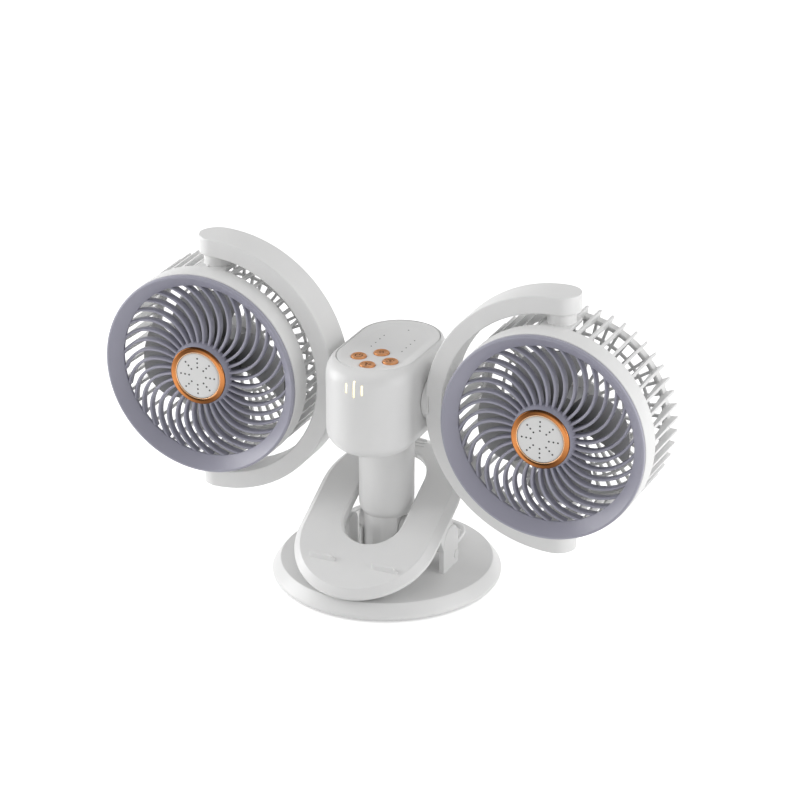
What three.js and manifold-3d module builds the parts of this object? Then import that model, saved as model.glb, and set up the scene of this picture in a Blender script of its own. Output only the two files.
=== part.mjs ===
// A rechargeable desk fan with two heads. A weighted round base carries a sprung clip plate,
// a hanging loop and a tilting column. The control head turns on the column, and each fan
// tilts with its yoke and pans between the yoke's two ends.
// Millimetres, +Z up, the fans blow towards -Y, the origin is under the middle of the base.
import * as THREE from 'three';
import { mergeVertices } from 'three/addons/utils/BufferGeometryUtils.js';
import Module from 'manifold-3d';

const wasm = await Module();
wasm.setup();

// ---------------------------------------------------------------- driving dimensions
const clearance = 0.3;            // between pieces that touch
const runningGap = 0.5;           // between pieces that turn past each other

// base
const baseRadius = 75;
const baseHeight = 12.2;
const baseEdgeHeight = 5;         // height of the upright edge, below the sloped rim
const baseRimWidth = 5.5;
const baseWall = 2.5;
const padThickness = 1.6;
const coverThickness = 2;
const weightRadius = 52;

// column and its tilting joint
const columnRadius = 18.1;
const tiltAxisHeight = 35;
const tongueWidth = 23.4;
const tiltPinRadius = 4;
const columnBore = 8;             // radius of the wires' way up
const spigotRadius = 11;
const spigotLength = 11;

// clip plate, measured along its own slope
const plateSlope = 28;            // degrees
const plateRadius = 48;           // round ends, at the lower edge
const plateCentres = 38.5;        // distance between the two round ends
const plateThickness = 7;
const plateChamfer = 6;
const plateChamferDepth = 4.6;
const holeMargin = 2.1;           // beside the column
const holeStart = -6.5;           // lower end of the hole, from the lower round end's centre
const holeEnd = 72;
const plateAnchorY = -32.6;       // lower round end's centre, on the upper face
const plateAnchorZ = 41.5;
const lipSpread = 22;             // the phone lips' middles, either side
const lipWidth = 16;
const lipHeight = 2.4;
const lipAlong = -23;
const ridgeCount = 3;
const ridgePitch = 2.6;
const ridgeHalf = 11;

// clip hinge
const hingeY = 1;
const hingeZ = 30.3;
const earRadius = 11.5;
const earThickness = 3.7;
const earInset = 2.5;             // ear's outer face, inside the plate's edge
const lugThickness = 3;
const lugGap = 2;
const lugRadius = 8;
const cheekReach = 11.5;          // from the hinge towards the plate's lower end
const cheekBack = 8;              // and towards its upper end
const innerEarX = 24.5;
const innerEarThickness = 3;
const hingePinRadius = 2.5;
const springWire = 1.3;
const springPitch = 1.75;
const springRadius = 4.6;
const springTurns = 4;
const jawPadInset = 4;
const jawPadWidth = 12;
const jawPadThickness = 1.6;
const jawPadSweep = 38;           // degrees, either side of the lowest point

// hanging loop
const loopHalfWidth = 41.5;
const loopReach = 33;
const loopCorner = 11;
const loopBar = 3;
const loopPivotY = 9;
const loopPivotZ = 18.5;
const loopRise = 8;               // degrees
const loopPinRadius = 1.3;

// head
const headHalfWidth = 30;
const headCentres = 40.8;         // distance between the round ends' centres
const headBottom = 102;
const headTop = 160;
const headWall = 2.5;
const headFootRadius = 14;
const panelThickness = 2.4;
const panelDish = 1.4;
const buttonRadius = 5.3;
const buttonSpread = 11;
const buttonCentreY = -18.2;
const buttonProud = 0.9;
const cellRadius = 9.2;
const cellLength = 65;

// fans and yokes
const fanAxisHeight = 130.8;
const housingRadius = 68.5;
const housingWall = 2.4;
const bandFront = -28;
const bandBack = -12;
const cageBack = 29;
const finCount = 24;
const finThickness = 1.5;
const cageRimRadius = housingRadius - 6.5;
const grilleRadius = housingRadius - 1.4;
const grilleFront = -30.6;
const grilleThroat = grilleRadius - 8.1;
const ribCount = 24;
const ribTwist = 30;              // degrees, from the hub to the rim
const ribThickness = 1.7;
const ribBow = 1.5;
const hubRadius = 21.4;
const trimRadius = 18.9;
const trimWidth = 3.9;
const hubFront = -31.2;
const bladeCount = 5;
const bladeTip = grilleThroat - 3.5;
const impellerHub = 17;
const motorRadius = 13.5;
const motorFront = 2;
const shaftRadius = 1.5;
const yokeThickness = 12;
const yokeWidth = 25;
const yokeGap = 2.1;              // between the head's side and the yoke
const hubBossRadius = 14;
const hubSpigotRadius = 7.6;
const neckRadius = 9.3;
const panPinRadius = 3;

// ---------------------------------------------------------------- finishes
const finish = (color, roughness, metalness = 0) =>
  new THREE.MeshStandardMaterial({ color, roughness, metalness });
const finishes = {
  white: () => finish(0xe6e6e6, 0.45),
  lilac: () => finish(0x8f8da3, 0.4),
  copper: () => finish(0xc98253, 0.25, 0.9),
  grey: () => finish(0x8a8a8c, 0.5),
  rubber: () => finish(0x3c3c3e, 0.9),
  steel: () => finish(0xb4b6b8, 0.35, 0.9),
  lamp: () => finish(0xfff2c8, 0.3),
  board: () => finish(0x2f6b46, 0.6),
  cell: () => finish(0x3f6f9a, 0.5),
};

// ---------------------------------------------------------------- geometry helpers
const radians = THREE.MathUtils.degToRad;

// a closed geometry as a solid: shared vertices merged, slivers at the poles dropped,
// faces turned outwards
function solid(geometry) {
  const bare = geometry.clone();
  bare.deleteAttribute('normal');
  bare.deleteAttribute('uv');
  const merged = mergeVertices(bare, 1e-4);
  const place = merged.attributes.position;
  const corners = merged.index.array;
  const faces = [];
  let volume = 0;
  const a = new THREE.Vector3();
  const b = new THREE.Vector3();
  const c = new THREE.Vector3();
  for (let i = 0; i < corners.length; i += 3) {
    const [p, q, r] = [corners[i], corners[i + 1], corners[i + 2]];
    if (p === q || q === r || r === p) continue;
    faces.push(p, q, r);
    a.fromBufferAttribute(place, p);
    b.fromBufferAttribute(place, q);
    c.fromBufferAttribute(place, r);
    volume += a.dot(b.cross(c));
  }
  if (volume < 0) faces.reverse();
  return new wasm.Manifold(new wasm.Mesh({
    numProp: 3,
    vertProperties: new Float32Array(place.array),
    triVerts: new Uint32Array(faces),
  }));
}

function geometryOf(shape) {
  const mesh = shape.getMesh();
  const geometry = new THREE.BufferGeometry();
  const points = new Float32Array(mesh.vertProperties);
  geometry.setAttribute('position', new THREE.BufferAttribute(points, 3));
  geometry.setIndex(new THREE.BufferAttribute(new Uint32Array(mesh.triVerts), 1));
  geometry.computeVertexNormals();
  return geometry;
}

const join = (...shapes) => shapes.reduce((whole, shape) => whole.add(shape));
const cut = (whole, ...shapes) => shapes.reduce((rest, shape) => rest.subtract(shape), whole);

function block([x0, x1], [y0, y1], [z0, z1]) {
  const geometry = new THREE.BoxGeometry(x1 - x0, y1 - y0, z1 - z0);
  return solid(geometry.translate((x0 + x1) / 2, (y0 + y1) / 2, (z0 + z1) / 2));
}

// a round bar along 'x', 'y' or 'z', from one coordinate to the other, through (u, v)
function bar(axis, from, to, u, v, radius, segments = 24) {
  const geometry = new THREE.CylinderGeometry(radius, radius, to - from, segments);
  if (axis === 'x') geometry.rotateZ(-Math.PI / 2).translate((from + to) / 2, u, v);
  if (axis === 'y') geometry.translate(u, (from + to) / 2, v);
  if (axis === 'z') geometry.rotateX(Math.PI / 2).translate(u, v, (from + to) / 2);
  return solid(geometry);
}

// a profile of [radius, height] turned about Y, or about Z when upright
function turned(profile, segments, upright = false, start = 0) {
  const points = profile.map(([r, h]) => new THREE.Vector2(r, h));
  if (profile[0][0] > 0) points.push(points[0].clone());
  const geometry = new THREE.LatheGeometry(points, segments, start);
  if (upright) geometry.rotateX(Math.PI / 2);
  return solid(geometry);
}

// an outline drawn in (y, z), pushed along X
function slabX(outline, x0, x1) {
  const shape = { depth: x1 - x0, bevelEnabled: false, curveSegments: 10 };
  const geometry = new THREE.ExtrudeGeometry(outline, shape);
  const turn = new THREE.Matrix4().makeBasis(
    new THREE.Vector3(0, 1, 0), new THREE.Vector3(0, 0, 1), new THREE.Vector3(1, 0, 0));
  return solid(geometry.applyMatrix4(turn).translate(x0, 0, 0));
}

// an outline drawn in (x, z), pushed along Y
function slabY(outline, y0, y1, bevel = 0, curveSegments = 12) {
  const geometry = new THREE.ExtrudeGeometry(outline, {
    depth: y1 - y0 - 2 * bevel,
    bevelEnabled: bevel > 0,
    bevelThickness: bevel,
    bevelSize: bevel,
    bevelSegments: 1,
    curveSegments,
  });
  return solid(geometry.rotateX(Math.PI / 2).translate(0, y1 - bevel, 0));
}

// rings with the same number of points, skinned one to the next and closed at both ends
function skinned(rings) {
  const count = rings[0].length;
  const index = [];
  for (let level = 0; level + 1 < rings.length; level++) {
    for (let i = 0; i < count; i++) {
      const j = (i + 1) % count;
      const [a, b] = [level * count + i, level * count + j];
      index.push(a, b, b + count, a, b + count, a + count);
    }
  }
  const last = (rings.length - 1) * count;
  for (let i = 1; i + 1 < count; i++) {
    index.push(0, i + 1, i, last, last + i, last + i + 1);
  }
  const geometry = new THREE.BufferGeometry();
  geometry.setAttribute('position', new THREE.Float32BufferAttribute(rings.flat(2), 3));
  geometry.setIndex(index);
  return solid(geometry);
}

// a racetrack of two half circles whose centres lie at (0, y0) and (0, y1)
function racetrack(radius, y0, y1, z, steps = 10) {
  const ring = [];
  for (let i = 0; i <= steps; i++) {
    const angle = Math.PI * (i / steps);
    ring.push([radius * Math.cos(angle), y1 + radius * Math.sin(angle), z]);
  }
  for (let i = 0; i <= steps; i++) {
    const angle = Math.PI * (1 + i / steps);
    ring.push([radius * Math.cos(angle), y0 + radius * Math.sin(angle), z]);
  }
  return ring;
}

// an upright outline in (y, z): straight sides up from a foot to a round top
function archOutline(y, z, radius, foot) {
  const outline = new THREE.Shape();
  outline.moveTo(y - radius, foot);
  outline.lineTo(y + radius, foot);
  outline.absarc(y, z, radius, 0, Math.PI);
  return outline;
}

const model = new THREE.Group();

function addPart(name, shape, material, parent = model) {
  const mesh = new THREE.Mesh(geometryOf(shape), material());
  mesh.name = name;
  parent.add(mesh);
}

// ---------------------------------------------------------------- base
const earOuter = plateRadius - earInset;
const earInner = earOuter - earThickness;
const innerEarOuter = innerEarX + innerEarThickness;
const lugOuter = earInner - lugGap;
const lugInner = lugOuter - lugThickness;
const cheekRadius = columnRadius - runningGap;
const tongueRadius = columnRadius - 0.2;
const tiltPinReach = columnRadius - 1.9;
const tiltPinHole = tiltPinReach + clearance;
const shellFoot = padThickness - 0.4;
const shellInner = baseRadius - baseWall - 0.2;
const innerEarRadius = lugRadius - 1;
const pinCover = 1.4;                       // left of an ear's outer face beyond a pin's end
const pinEndGap = 0.4;
const earHoleEnd = earOuter - pinCover + pinEndGap;

function baseShell() {
  const topRadius = baseRadius - baseRimWidth;
  const ceiling = baseHeight - baseWall;
  let shell = turned([
    [0, ceiling], [topRadius - 2, ceiling], [shellInner, baseEdgeHeight - 1], [shellInner, shellFoot],
    [baseRadius, shellFoot], [baseRadius, baseEdgeHeight], [topRadius, baseHeight], [0, baseHeight],
  ], 40, true);

  // the fork that holds the column: a round post with a slot and rounded cheeks
  const post = bar('z', ceiling + 1, tiltAxisHeight + cheekRadius, 0, 0, columnRadius, 32);
  const roundedTop = join(
    bar('x', -columnRadius - 1, columnRadius + 1, 0, tiltAxisHeight, cheekRadius, 32),
    block([-columnRadius - 1, columnRadius + 1], [-columnRadius, columnRadius],
      [baseHeight - 2, tiltAxisHeight]));
  const slotHalf = tongueWidth / 2 + clearance;
  const slot = block([-slotHalf, slotHalf], [-columnRadius - 1, columnRadius + 1],
    [tiltAxisHeight - tongueRadius - runningGap - 0.2, tiltAxisHeight + columnRadius]);
  const pinHole = bar('x', -tiltPinHole, tiltPinHole, 0, tiltAxisHeight, tiltPinRadius + clearance, 16);
  shell = shell.add(cut(post.intersect(roundedTop), slot, pinHole));

  // the clip's two pairs of ears, with the hanging loop's pivots in the outer ones
  for (const side of [-1, 1]) {
    const span = (a, b) => [Math.min(side * a, side * b), Math.max(side * a, side * b)];
    const outerEar = slabX(archOutline(hingeY, hingeZ, earRadius, baseHeight - 1),
      ...span(earInner, earOuter));
    const innerEar = slabX(archOutline(hingeY, hingeZ, innerEarRadius, baseHeight - 1),
      ...span(innerEarX, innerEarOuter));
    const hingeHole = bar('x', ...span(innerEarX - 1, earHoleEnd), hingeY, hingeZ,
      hingePinRadius + clearance, 12);
    const loopHole = bar('x', ...span(earInner - 1, earHoleEnd), loopPivotY, loopPivotZ,
      loopPinRadius + clearance, 8);
    shell = shell.add(cut(outerEar.add(innerEar), hingeHole, loopHole));
  }
  return shell;
}

const coverRadius = shellInner - clearance;
const coverBottom = padThickness + clearance;
const weightBottom = coverBottom + coverThickness + clearance;
addPart('base_shell', baseShell(), finishes.white);
addPart('base_bottom_cover', turned([
  [0, coverBottom], [coverRadius, coverBottom], [coverRadius, coverBottom + coverThickness],
  [0, coverBottom + coverThickness],
], 36, true), finishes.white);
addPart('base_foot_pad', turned([
  [0, 0], [coverRadius - 2, 0], [coverRadius - 1.4, padThickness], [0, padThickness],
], 36, true), finishes.rubber);
addPart('base_weight', turned([
  [0, weightBottom], [weightRadius, weightBottom],
  [weightRadius, baseHeight - baseWall - clearance], [0, baseHeight - baseWall - clearance],
], 32, true), finishes.steel);
addPart('column_tilt_pin', bar('x', -tiltPinReach, tiltPinReach, 0, tiltAxisHeight, tiltPinRadius, 16),
  finishes.steel);

// ---------------------------------------------------------------- clip
const plateGroup = new THREE.Group();
plateGroup.position.set(0, plateAnchorY, plateAnchorZ);
plateGroup.rotation.x = radians(plateSlope);
model.add(plateGroup);
const slopeSin = Math.sin(radians(plateSlope));
const slopeCos = Math.cos(radians(plateSlope));
// the hinge and the tilting axis, seen from the plate's own slope
const hingeAlong = (hingeY - plateAnchorY) * slopeCos + (hingeZ - plateAnchorZ) * slopeSin;
const hingeBelow = (hingeZ - plateAnchorZ) * slopeCos - (hingeY - plateAnchorY) * slopeSin;

function clipPlate() {
  const top = plateRadius - plateChamfer;
  const holeHalf = columnRadius + holeMargin;
  let plate = skinned([
    racetrack(plateRadius, 0, plateCentres, -plateThickness, 16),
    racetrack(plateRadius, 0, plateCentres, -plateChamferDepth, 16),
    racetrack(top, 0, plateCentres, 0, 16),
  ]);
  const hole = skinned([
    racetrack(holeHalf, holeStart + holeHalf, holeEnd - holeHalf, -plateThickness - 1, 12),
    racetrack(holeHalf, holeStart + holeHalf, holeEnd - holeHalf, -0.8, 12),
    racetrack(holeHalf + 1.2, holeStart + holeHalf, holeEnd - holeHalf, 0.4, 12),
  ]);

  // two low lips that a phone's edge stands against, and the finger ridges at the top
  for (const side of [-1, 1]) plate = plate.add(phoneLip(side * lipSpread));
  for (let i = 0; i < ridgeCount; i++) {
    const along = holeEnd + 4 + ridgePitch * i;
    plate = plate.add(block([-ridgeHalf, ridgeHalf], [along, along + 1.2], [-1, 0.6]));
  }

  // side cheeks that follow the round tops of the ears, and lugs that hang on the hinge pins
  for (const side of [-1, 1]) {
    const span = (a, b) => [Math.min(side * a, side * b), Math.max(side * a, side * b)];
    const cheek = block(span(earInner, earOuter), [hingeAlong - cheekReach, hingeAlong + cheekBack],
      [hingeBelow + 3, -plateThickness + 0.5]);
    const earRoom = bar('x', ...span(earInner - 1, earOuter + 1), hingeAlong, hingeBelow,
      earRadius + runningGap, 24);
    const lug = join(
      bar('x', ...span(lugInner, lugOuter), hingeAlong, hingeBelow, lugRadius, 16),
      block(span(lugInner, lugOuter), [hingeAlong - lugRadius, hingeAlong + lugRadius],
        [hingeBelow, -plateThickness + 0.5]));
    const pinHole = bar('x', ...span(lugInner - 1, lugOuter + 1), hingeAlong, hingeBelow,
      hingePinRadius + clearance, 12);
    plate = plate.add(cheek.subtract(earRoom)).add(lug.subtract(pinHole));
  }
  return plate.subtract(hole);
}

function phoneLip(x) {
  const outline = new THREE.Shape();
  outline.moveTo(lipAlong - 2.5, -0.6);
  outline.lineTo(lipAlong + 1.6, -0.6);
  outline.lineTo(lipAlong + 0.6, lipHeight);
  outline.lineTo(lipAlong - 0.6, lipHeight);
  return slabX(outline, x - lipWidth / 2, x + lipWidth / 2);
}

addPart('clip_plate', clipPlate(), finishes.white, plateGroup);

// the rubber strip under the plate's lower end, which grips a shelf or a table edge
function jawPad() {
  const inner = plateRadius - jawPadInset - jawPadWidth;
  const outer = plateRadius - jawPadInset;
  const outline = new THREE.Shape();
  const sweep = radians(jawPadSweep);
  outline.absarc(0, 0, outer, -Math.PI / 2 - sweep, -Math.PI / 2 + sweep);
  outline.absarc(0, 0, inner, -Math.PI / 2 + sweep, -Math.PI / 2 - sweep, true);
  const shape = { depth: jawPadThickness, bevelEnabled: false, curveSegments: 12 };
  const geometry = new THREE.ExtrudeGeometry(outline, shape);
  return solid(geometry.translate(0, 0, -plateThickness - clearance - jawPadThickness));
}
addPart('jaw_pad', jawPad(), finishes.rubber, plateGroup);

// height of the plate's lower face above a point of the base
const plateUnderside = (y) =>
  plateAnchorZ + (y - plateAnchorY) * (slopeSin / slopeCos) - plateThickness / slopeCos;

// a torsion spring round the hinge pin, one leg on the base and one under the plate
function springRoute(side) {
  const start = side * (innerEarOuter + springWire / 2 + clearance);
  const points = [];
  const stepsPerTurn = 8;
  for (let i = 0; i <= springTurns * stepsPerTurn; i++) {
    const turns = i / stepsPerTurn;
    const angle = turns * 2 * Math.PI;
    points.push(new THREE.Vector3(start + side * springPitch * turns,
      hingeY + springRadius * Math.cos(angle), hingeZ + springRadius * Math.sin(angle)));
  }
  const first = points[0];
  const last = points[points.length - 1];
  const foot = baseHeight + clearance;
  const head = plateUnderside(last.y - springWire / 2) - clearance;
  const onLeg = (end, z) => new THREE.Vector3(end.x, end.y, z);
  points.unshift(onLeg(first, foot), onLeg(first, (foot + hingeZ) / 2));
  points.push(onLeg(last, (head + hingeZ) / 2), onLeg(last, head));
  return new THREE.CatmullRomCurve3(points, false, 'centripetal');
}

// the least distance between the surfaces of the wire's neighbouring turns
function leastGap(route, wire) {
  const samples = 400;
  const points = route.getSpacedPoints(samples);
  const turn = 2 * Math.PI * springRadius;
  const step = route.getLength() / samples;
  let least = Infinity;
  points.forEach((p, i) => points.slice(i + Math.round(turn / 2 / step)).forEach((q) => {
    least = Math.min(least, p.distanceTo(q));
  }));
  return least - wire;
}

function torsionSpring(side) {
  const route = springRoute(side);
  console.log(`clip spring: least gap between turns ${leastGap(route, springWire).toFixed(2)} mm`);
  const corners = [0, 1, 2, 3, 4].map((i) => (i * 2 * Math.PI) / 5);
  const wire = new THREE.Shape(corners.map((angle) =>
    new THREE.Vector2(Math.cos(angle), Math.sin(angle)).multiplyScalar(springWire / 2)));
  const steps = springTurns * 10 + 3;         // ten for each turn, the rest for the legs
  return solid(new THREE.ExtrudeGeometry(wire, { steps, extrudePath: route, bevelEnabled: false }));
}

for (const [name, side] of [['left', -1], ['right', 1]]) {
  const span = (a, b) => [Math.min(side * a, side * b), Math.max(side * a, side * b)];
  addPart(`${name}_hinge_pin`,
    bar('x', ...span(innerEarX + pinEndGap, earOuter - pinCover), hingeY, hingeZ, hingePinRadius, 12),
    finishes.steel);
  addPart(`${name}_clip_spring`, torsionSpring(side), finishes.steel);
}

// ---------------------------------------------------------------- hanging loop
function hangingLoop() {
  const half = loopHalfWidth;
  const route = new THREE.Shape();
  const arm = (inset) => ({ side: half - inset, corner: loopCorner - inset, reach: loopReach - inset });
  const outer = arm(0);
  const inner = arm(loopBar);
  route.moveTo(-outer.side, -loopBar);
  route.lineTo(-outer.side, outer.reach - outer.corner);
  route.absarc(-outer.side + outer.corner, outer.reach - outer.corner, outer.corner,
    Math.PI, Math.PI / 2, true);
  route.absarc(outer.side - outer.corner, outer.reach - outer.corner, outer.corner, Math.PI / 2, 0, true);
  route.lineTo(outer.side, -loopBar);
  route.lineTo(inner.side, -loopBar);
  route.lineTo(inner.side, inner.reach - inner.corner);
  route.absarc(inner.side - inner.corner, inner.reach - inner.corner, inner.corner, 0, Math.PI / 2);
  route.absarc(-inner.side + inner.corner, inner.reach - inner.corner, inner.corner, Math.PI / 2, Math.PI);
  route.lineTo(-inner.side, -loopBar);
  const flat = new THREE.ExtrudeGeometry(route, { depth: loopBar, bevelEnabled: false, curveSegments: 5 });
  flat.translate(0, 0, -loopBar / 2).rotateX(radians(loopRise)).translate(0, loopPivotY, loopPivotZ);
  const pins = [-1, 1].map((side) => {
    const ends = [side * (half - loopBar / 2), side * (earOuter - pinCover)].sort((a, b) => a - b);
    return bar('x', ...ends, loopPivotY, loopPivotZ, loopPinRadius, 12);
  });
  return join(solid(flat), ...pins);
}
addPart('hanging_loop', hangingLoop(), finishes.white);

// ---------------------------------------------------------------- column
const columnTop = headBottom - clearance;
const collarBottom = headBottom + headWall + clearance;

function columnTube() {
  const half = tongueWidth / 2;
  const tube = bar('z', tiltAxisHeight, columnTop, 0, 0, columnRadius, 32);
  const cheekRoom = bar('x', -columnRadius - 1, columnRadius + 1, 0, tiltAxisHeight, columnRadius, 32);
  const tongue = join(
    bar('x', -half, half, 0, tiltAxisHeight, tongueRadius, 32),
    block([-half, half], [-columnRadius, columnRadius], [tiltAxisHeight, tiltAxisHeight + columnRadius + 2]));
  const roundTongue = tongue.intersect(bar('z', 0, columnTop, 0, 0, columnRadius, 32));
  const spigot = bar('z', columnTop - 1, columnTop + spigotLength, 0, 0, spigotRadius, 20);
  const bore = bar('z', tiltAxisHeight + columnRadius + 6, columnTop + spigotLength + 1, 0, 0,
    columnBore, 16);
  const pinHole = bar('x', -half - 1, half + 1, 0, tiltAxisHeight, tiltPinRadius + clearance, 16);
  return cut(join(tube.subtract(cheekRoom), roundTongue, spigot), bore, pinHole);
}
addPart('column_tube', columnTube(), finishes.white);
addPart('swivel_collar', turned([
  [spigotRadius + clearance, collarBottom], [spigotRadius + 4, collarBottom],
  [spigotRadius + 4, collarBottom + 3], [spigotRadius + clearance, collarBottom + 3],
], 20, true), finishes.grey);

// ---------------------------------------------------------------- head
const headHalf = headCentres / 2;
const headRing = (inset, z) => racetrack(headHalfWidth - inset, -headHalf, headHalf, z);
const panelSeat = headTop - 2.1;
const panelFace = headTop - panelDish;
const panelUnderside = panelFace - panelThickness;
const boardTop = panelUnderside - 6;
const boardThickness = 1.6;

function headShell() {
  const foot = [];
  const footSteps = 4;
  for (let i = 0; i < footSteps; i++) {
    const angle = (Math.PI / 2) * (i / footSteps);
    foot.push(headRing(headFootRadius * (1 - Math.sin(angle)),
      headBottom + headFootRadius * (1 - Math.cos(angle))));
  }
  const outside = skinned([
    ...foot,
    headRing(0, headBottom + headFootRadius),
    headRing(0, headTop - 9),
    headRing(0.5, headTop - 5),
    headRing(1.3, headTop - 2.2),
    headRing(2.6, headTop),
  ]);
  const insideFoot = headFootRadius - headWall;
  const inside = skinned([
    headRing(headWall + insideFoot, headBottom + headWall),
    headRing(headWall + insideFoot * 0.3, headBottom + headWall + insideFoot * 0.3),
    headRing(headWall, headBottom + headWall + insideFoot),
    headRing(headWall, headTop - 8),
    headRing(5.8, headTop - 4.5),
    headRing(5.8, headTop + 1),
  ]);
  const seat = skinned([headRing(3.4, panelSeat), headRing(3.4, headTop + 1)]);
  const columnHole = bar('z', headBottom - 1, headBottom + headWall + 1, 0, 0, spigotRadius + runningGap, 20);
  const yokeHole = bar('x', -headHalfWidth - 1, headHalfWidth + 1, 0, fanAxisHeight,
    hubSpigotRadius + runningGap, 16);
  const lightSlots = lightBars(clearance, headHalf + headHalfWidth + 1);
  const socketHole = socketBlock(clearance, headHalf + headHalfWidth - 6, headHalf + headHalfWidth + 1);
  return cut(outside, inside, seat, columnHole, yokeHole, ...lightSlots, socketHole);
}

// three upright windows in the front, the middle one longer
const lightSpacing = 5.35;
const lightWidth = 1.5;
const lightCentreZ = headTop - 10;
const lightHeights = [7.6, 11.6, 7.6];
const lightFlange = headHalf + headHalfWidth - headWall - 1.6;

function lightBars(margin, reach) {
  return lightHeights.map((height, i) => {
    const x = (i - 1) * lightSpacing;
    const halfWidth = lightWidth / 2 + margin;
    const halfHeight = height / 2 + margin;
    return block([x - halfWidth, x + halfWidth], [-reach, -lightFlange + 1 + 2 * margin],
      [lightCentreZ - halfHeight, lightCentreZ + halfHeight]);
  });
}

const socketZ = headBottom + 16;
const socketHalfWidth = 4.5;
const socketHalfHeight = 1.6;
const socketDepth = 8;

function socketBlock(margin, y0, y1) {
  return block([-socketHalfWidth - margin, socketHalfWidth + margin], [y0, y1],
    [socketZ - socketHalfHeight - margin, socketZ + socketHalfHeight + margin]);
}

function topPanel() {
  let panel = skinned([
    headRing(6.1, panelUnderside),
    headRing(6.1, panelSeat + clearance),
    headRing(3.7, panelSeat + clearance),
    headRing(3.7, headTop - 0.3),
    headRing(4.3, headTop),
    headRing(7, panelFace + 0.35),
    headRing(9.5, panelFace),
  ]);
  for (const [x, y] of buttonPlaces) {
    panel = panel.subtract(bar('z', panelUnderside - 1, headTop + 1, x, y, buttonRadius + clearance, 16));
  }
  // four posts that keep the control board in its place
  for (const x of [-10.5, 10.5]) {
    for (const y of [-34, 34]) {
      panel = panel.add(bar('z', boardTop + clearance, panelUnderside + 0.5, x, y, 2.2, 10));
    }
  }
  return panel;
}

const buttonPlaces = [
  [-buttonSpread, buttonCentreY],
  [0, buttonCentreY - buttonSpread + 0.3],
  [0, buttonCentreY + buttonSpread - 0.3],
  [buttonSpread, buttonCentreY],
];
const buttonNames = ['button_left', 'button_front', 'button_back', 'button_right'];

function button(x, y) {
  const flangeTop = panelUnderside - clearance;
  const profile = [
    [0, boardTop + 1.3], [2, boardTop + 1.3], [buttonRadius + 0.9, flangeTop - 0.9],
    [buttonRadius + 0.9, flangeTop], [buttonRadius, flangeTop], [buttonRadius - 0.3, panelFace + buttonProud],
    [0, panelFace + buttonProud],
  ];
  return turned(profile, 16, true).translate([x, y, 0]);
}

function lightGuide() {
  const back = block([-8, 8], [-lightFlange + 0.1, -lightFlange + 2], [lightCentreZ - 6.5, headTop - 8.4]);
  const bars = lightBars(0, headHalf + headHalfWidth - 0.5);
  const belowSurface = skinned([
    headRing(0.6, headBottom + headFootRadius),
    headRing(0.6, headTop - 9),
    headRing(1.1, headTop - 5),
    headRing(1.9, headTop - 2.2),
  ]);
  return join(back, ...bars).intersect(belowSurface);
}

const cellZ = collarBottom + spigotLength + 1.5 + cellRadius;
const cellX = cellRadius + 0.4;
const cradleBottom = columnTop + spigotLength + runningGap;

function batteryCradle() {
  const floor = headBottom + headWall + clearance;
  const cells = [-1, 1].map((side) =>
    bar('y', -cellLength, cellLength, side * cellX, cellZ, cellRadius + clearance, 20));
  const trayHalf = 2 * cellRadius + 1.1;
  const tray = block([-trayHalf, trayHalf], [-cellLength / 2, cellLength / 2], [cradleBottom, cellZ - 3.5]);
  const legAt = 25;
  const legs = [-legAt, legAt].map((y) => block([-9, 9], [y - 6, y + 6], [floor, cradleBottom + 1]));
  return join(cut(tray, ...cells), ...legs);
}

addPart('head_shell', headShell(), finishes.white);
addPart('head_top_panel', topPanel(), finishes.white);
buttonPlaces.forEach(([x, y], i) => addPart(buttonNames[i], button(x, y), finishes.copper));
addPart('light_guide', lightGuide(), finishes.lamp);
addPart('control_board', block([-15, 15], [-38, 38], [boardTop - boardThickness, boardTop]), finishes.board);
addPart('battery_cradle', batteryCradle(), finishes.grey);
const cell = (x) => bar('y', -cellLength / 2, cellLength / 2, x, cellZ, cellRadius, 20);
addPart('battery_left', cell(-cellX), finishes.cell);
addPart('battery_right', cell(cellX), finishes.cell);

function chargeSocket() {
  const mouth = headHalf + headHalfWidth - 0.8;
  const insideHalfWidth = socketHalfWidth - 0.6;
  const insideHalfHeight = socketHalfHeight - 0.5;
  const sleeve = socketBlock(0, mouth - socketDepth, mouth);
  return sleeve.subtract(block([-insideHalfWidth, insideHalfWidth], [mouth - socketDepth + 2, mouth + 1],
    [socketZ - insideHalfHeight, socketZ + insideHalfHeight]));
}
addPart('charge_socket', chargeSocket(), finishes.steel);

// ---------------------------------------------------------------- yokes
const sweptRadius = Math.max(
  Math.hypot(grilleRadius, grilleFront),
  Math.hypot(housingRadius, cageBack));
const yokeInner = sweptRadius + 0.9;
const yokeOuter = yokeInner + yokeThickness;
const fanX = headHalfWidth + yokeGap + yokeOuter;
const neckEnd = yokeInner - clearance;      // from the fan's axis

function yoke() {
  // drawn about the fan's centre, for a hub on the -X side
  const ring = new THREE.Shape();
  ring.absarc(0, 0, yokeOuter, Math.PI / 2, 3 * Math.PI / 2);
  ring.absarc(0, 0, yokeInner, 3 * Math.PI / 2, Math.PI / 2, true);
  let whole = slabY(ring, -yokeWidth / 2, yokeWidth / 2, 0, 22);
  const upper = bar('z', yokeInner, yokeOuter, 0, 0, yokeWidth / 2, 20);
  const hub = bar('x', -yokeOuter - yokeGap + clearance, -yokeOuter + 2.5, 0, 0, hubBossRadius, 20);
  const spigot = bar('x', -yokeOuter - yokeGap - 8, -yokeOuter, 0, 0, hubSpigotRadius, 16);
  whole = join(whole, upper, upper.rotate([180, 0, 0]), hub, spigot);
  const hole = bar('z', yokeInner - 1, yokeInner + 7, 0, 0, panPinRadius + clearance, 12);
  const neckRoom = bar('z', 0, yokeInner, 0, 0, neckRadius + runningGap, 24);
  return cut(whole, hole, hole.rotate([180, 0, 0]), neckRoom, neckRoom.rotate([180, 0, 0]));
}

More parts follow.
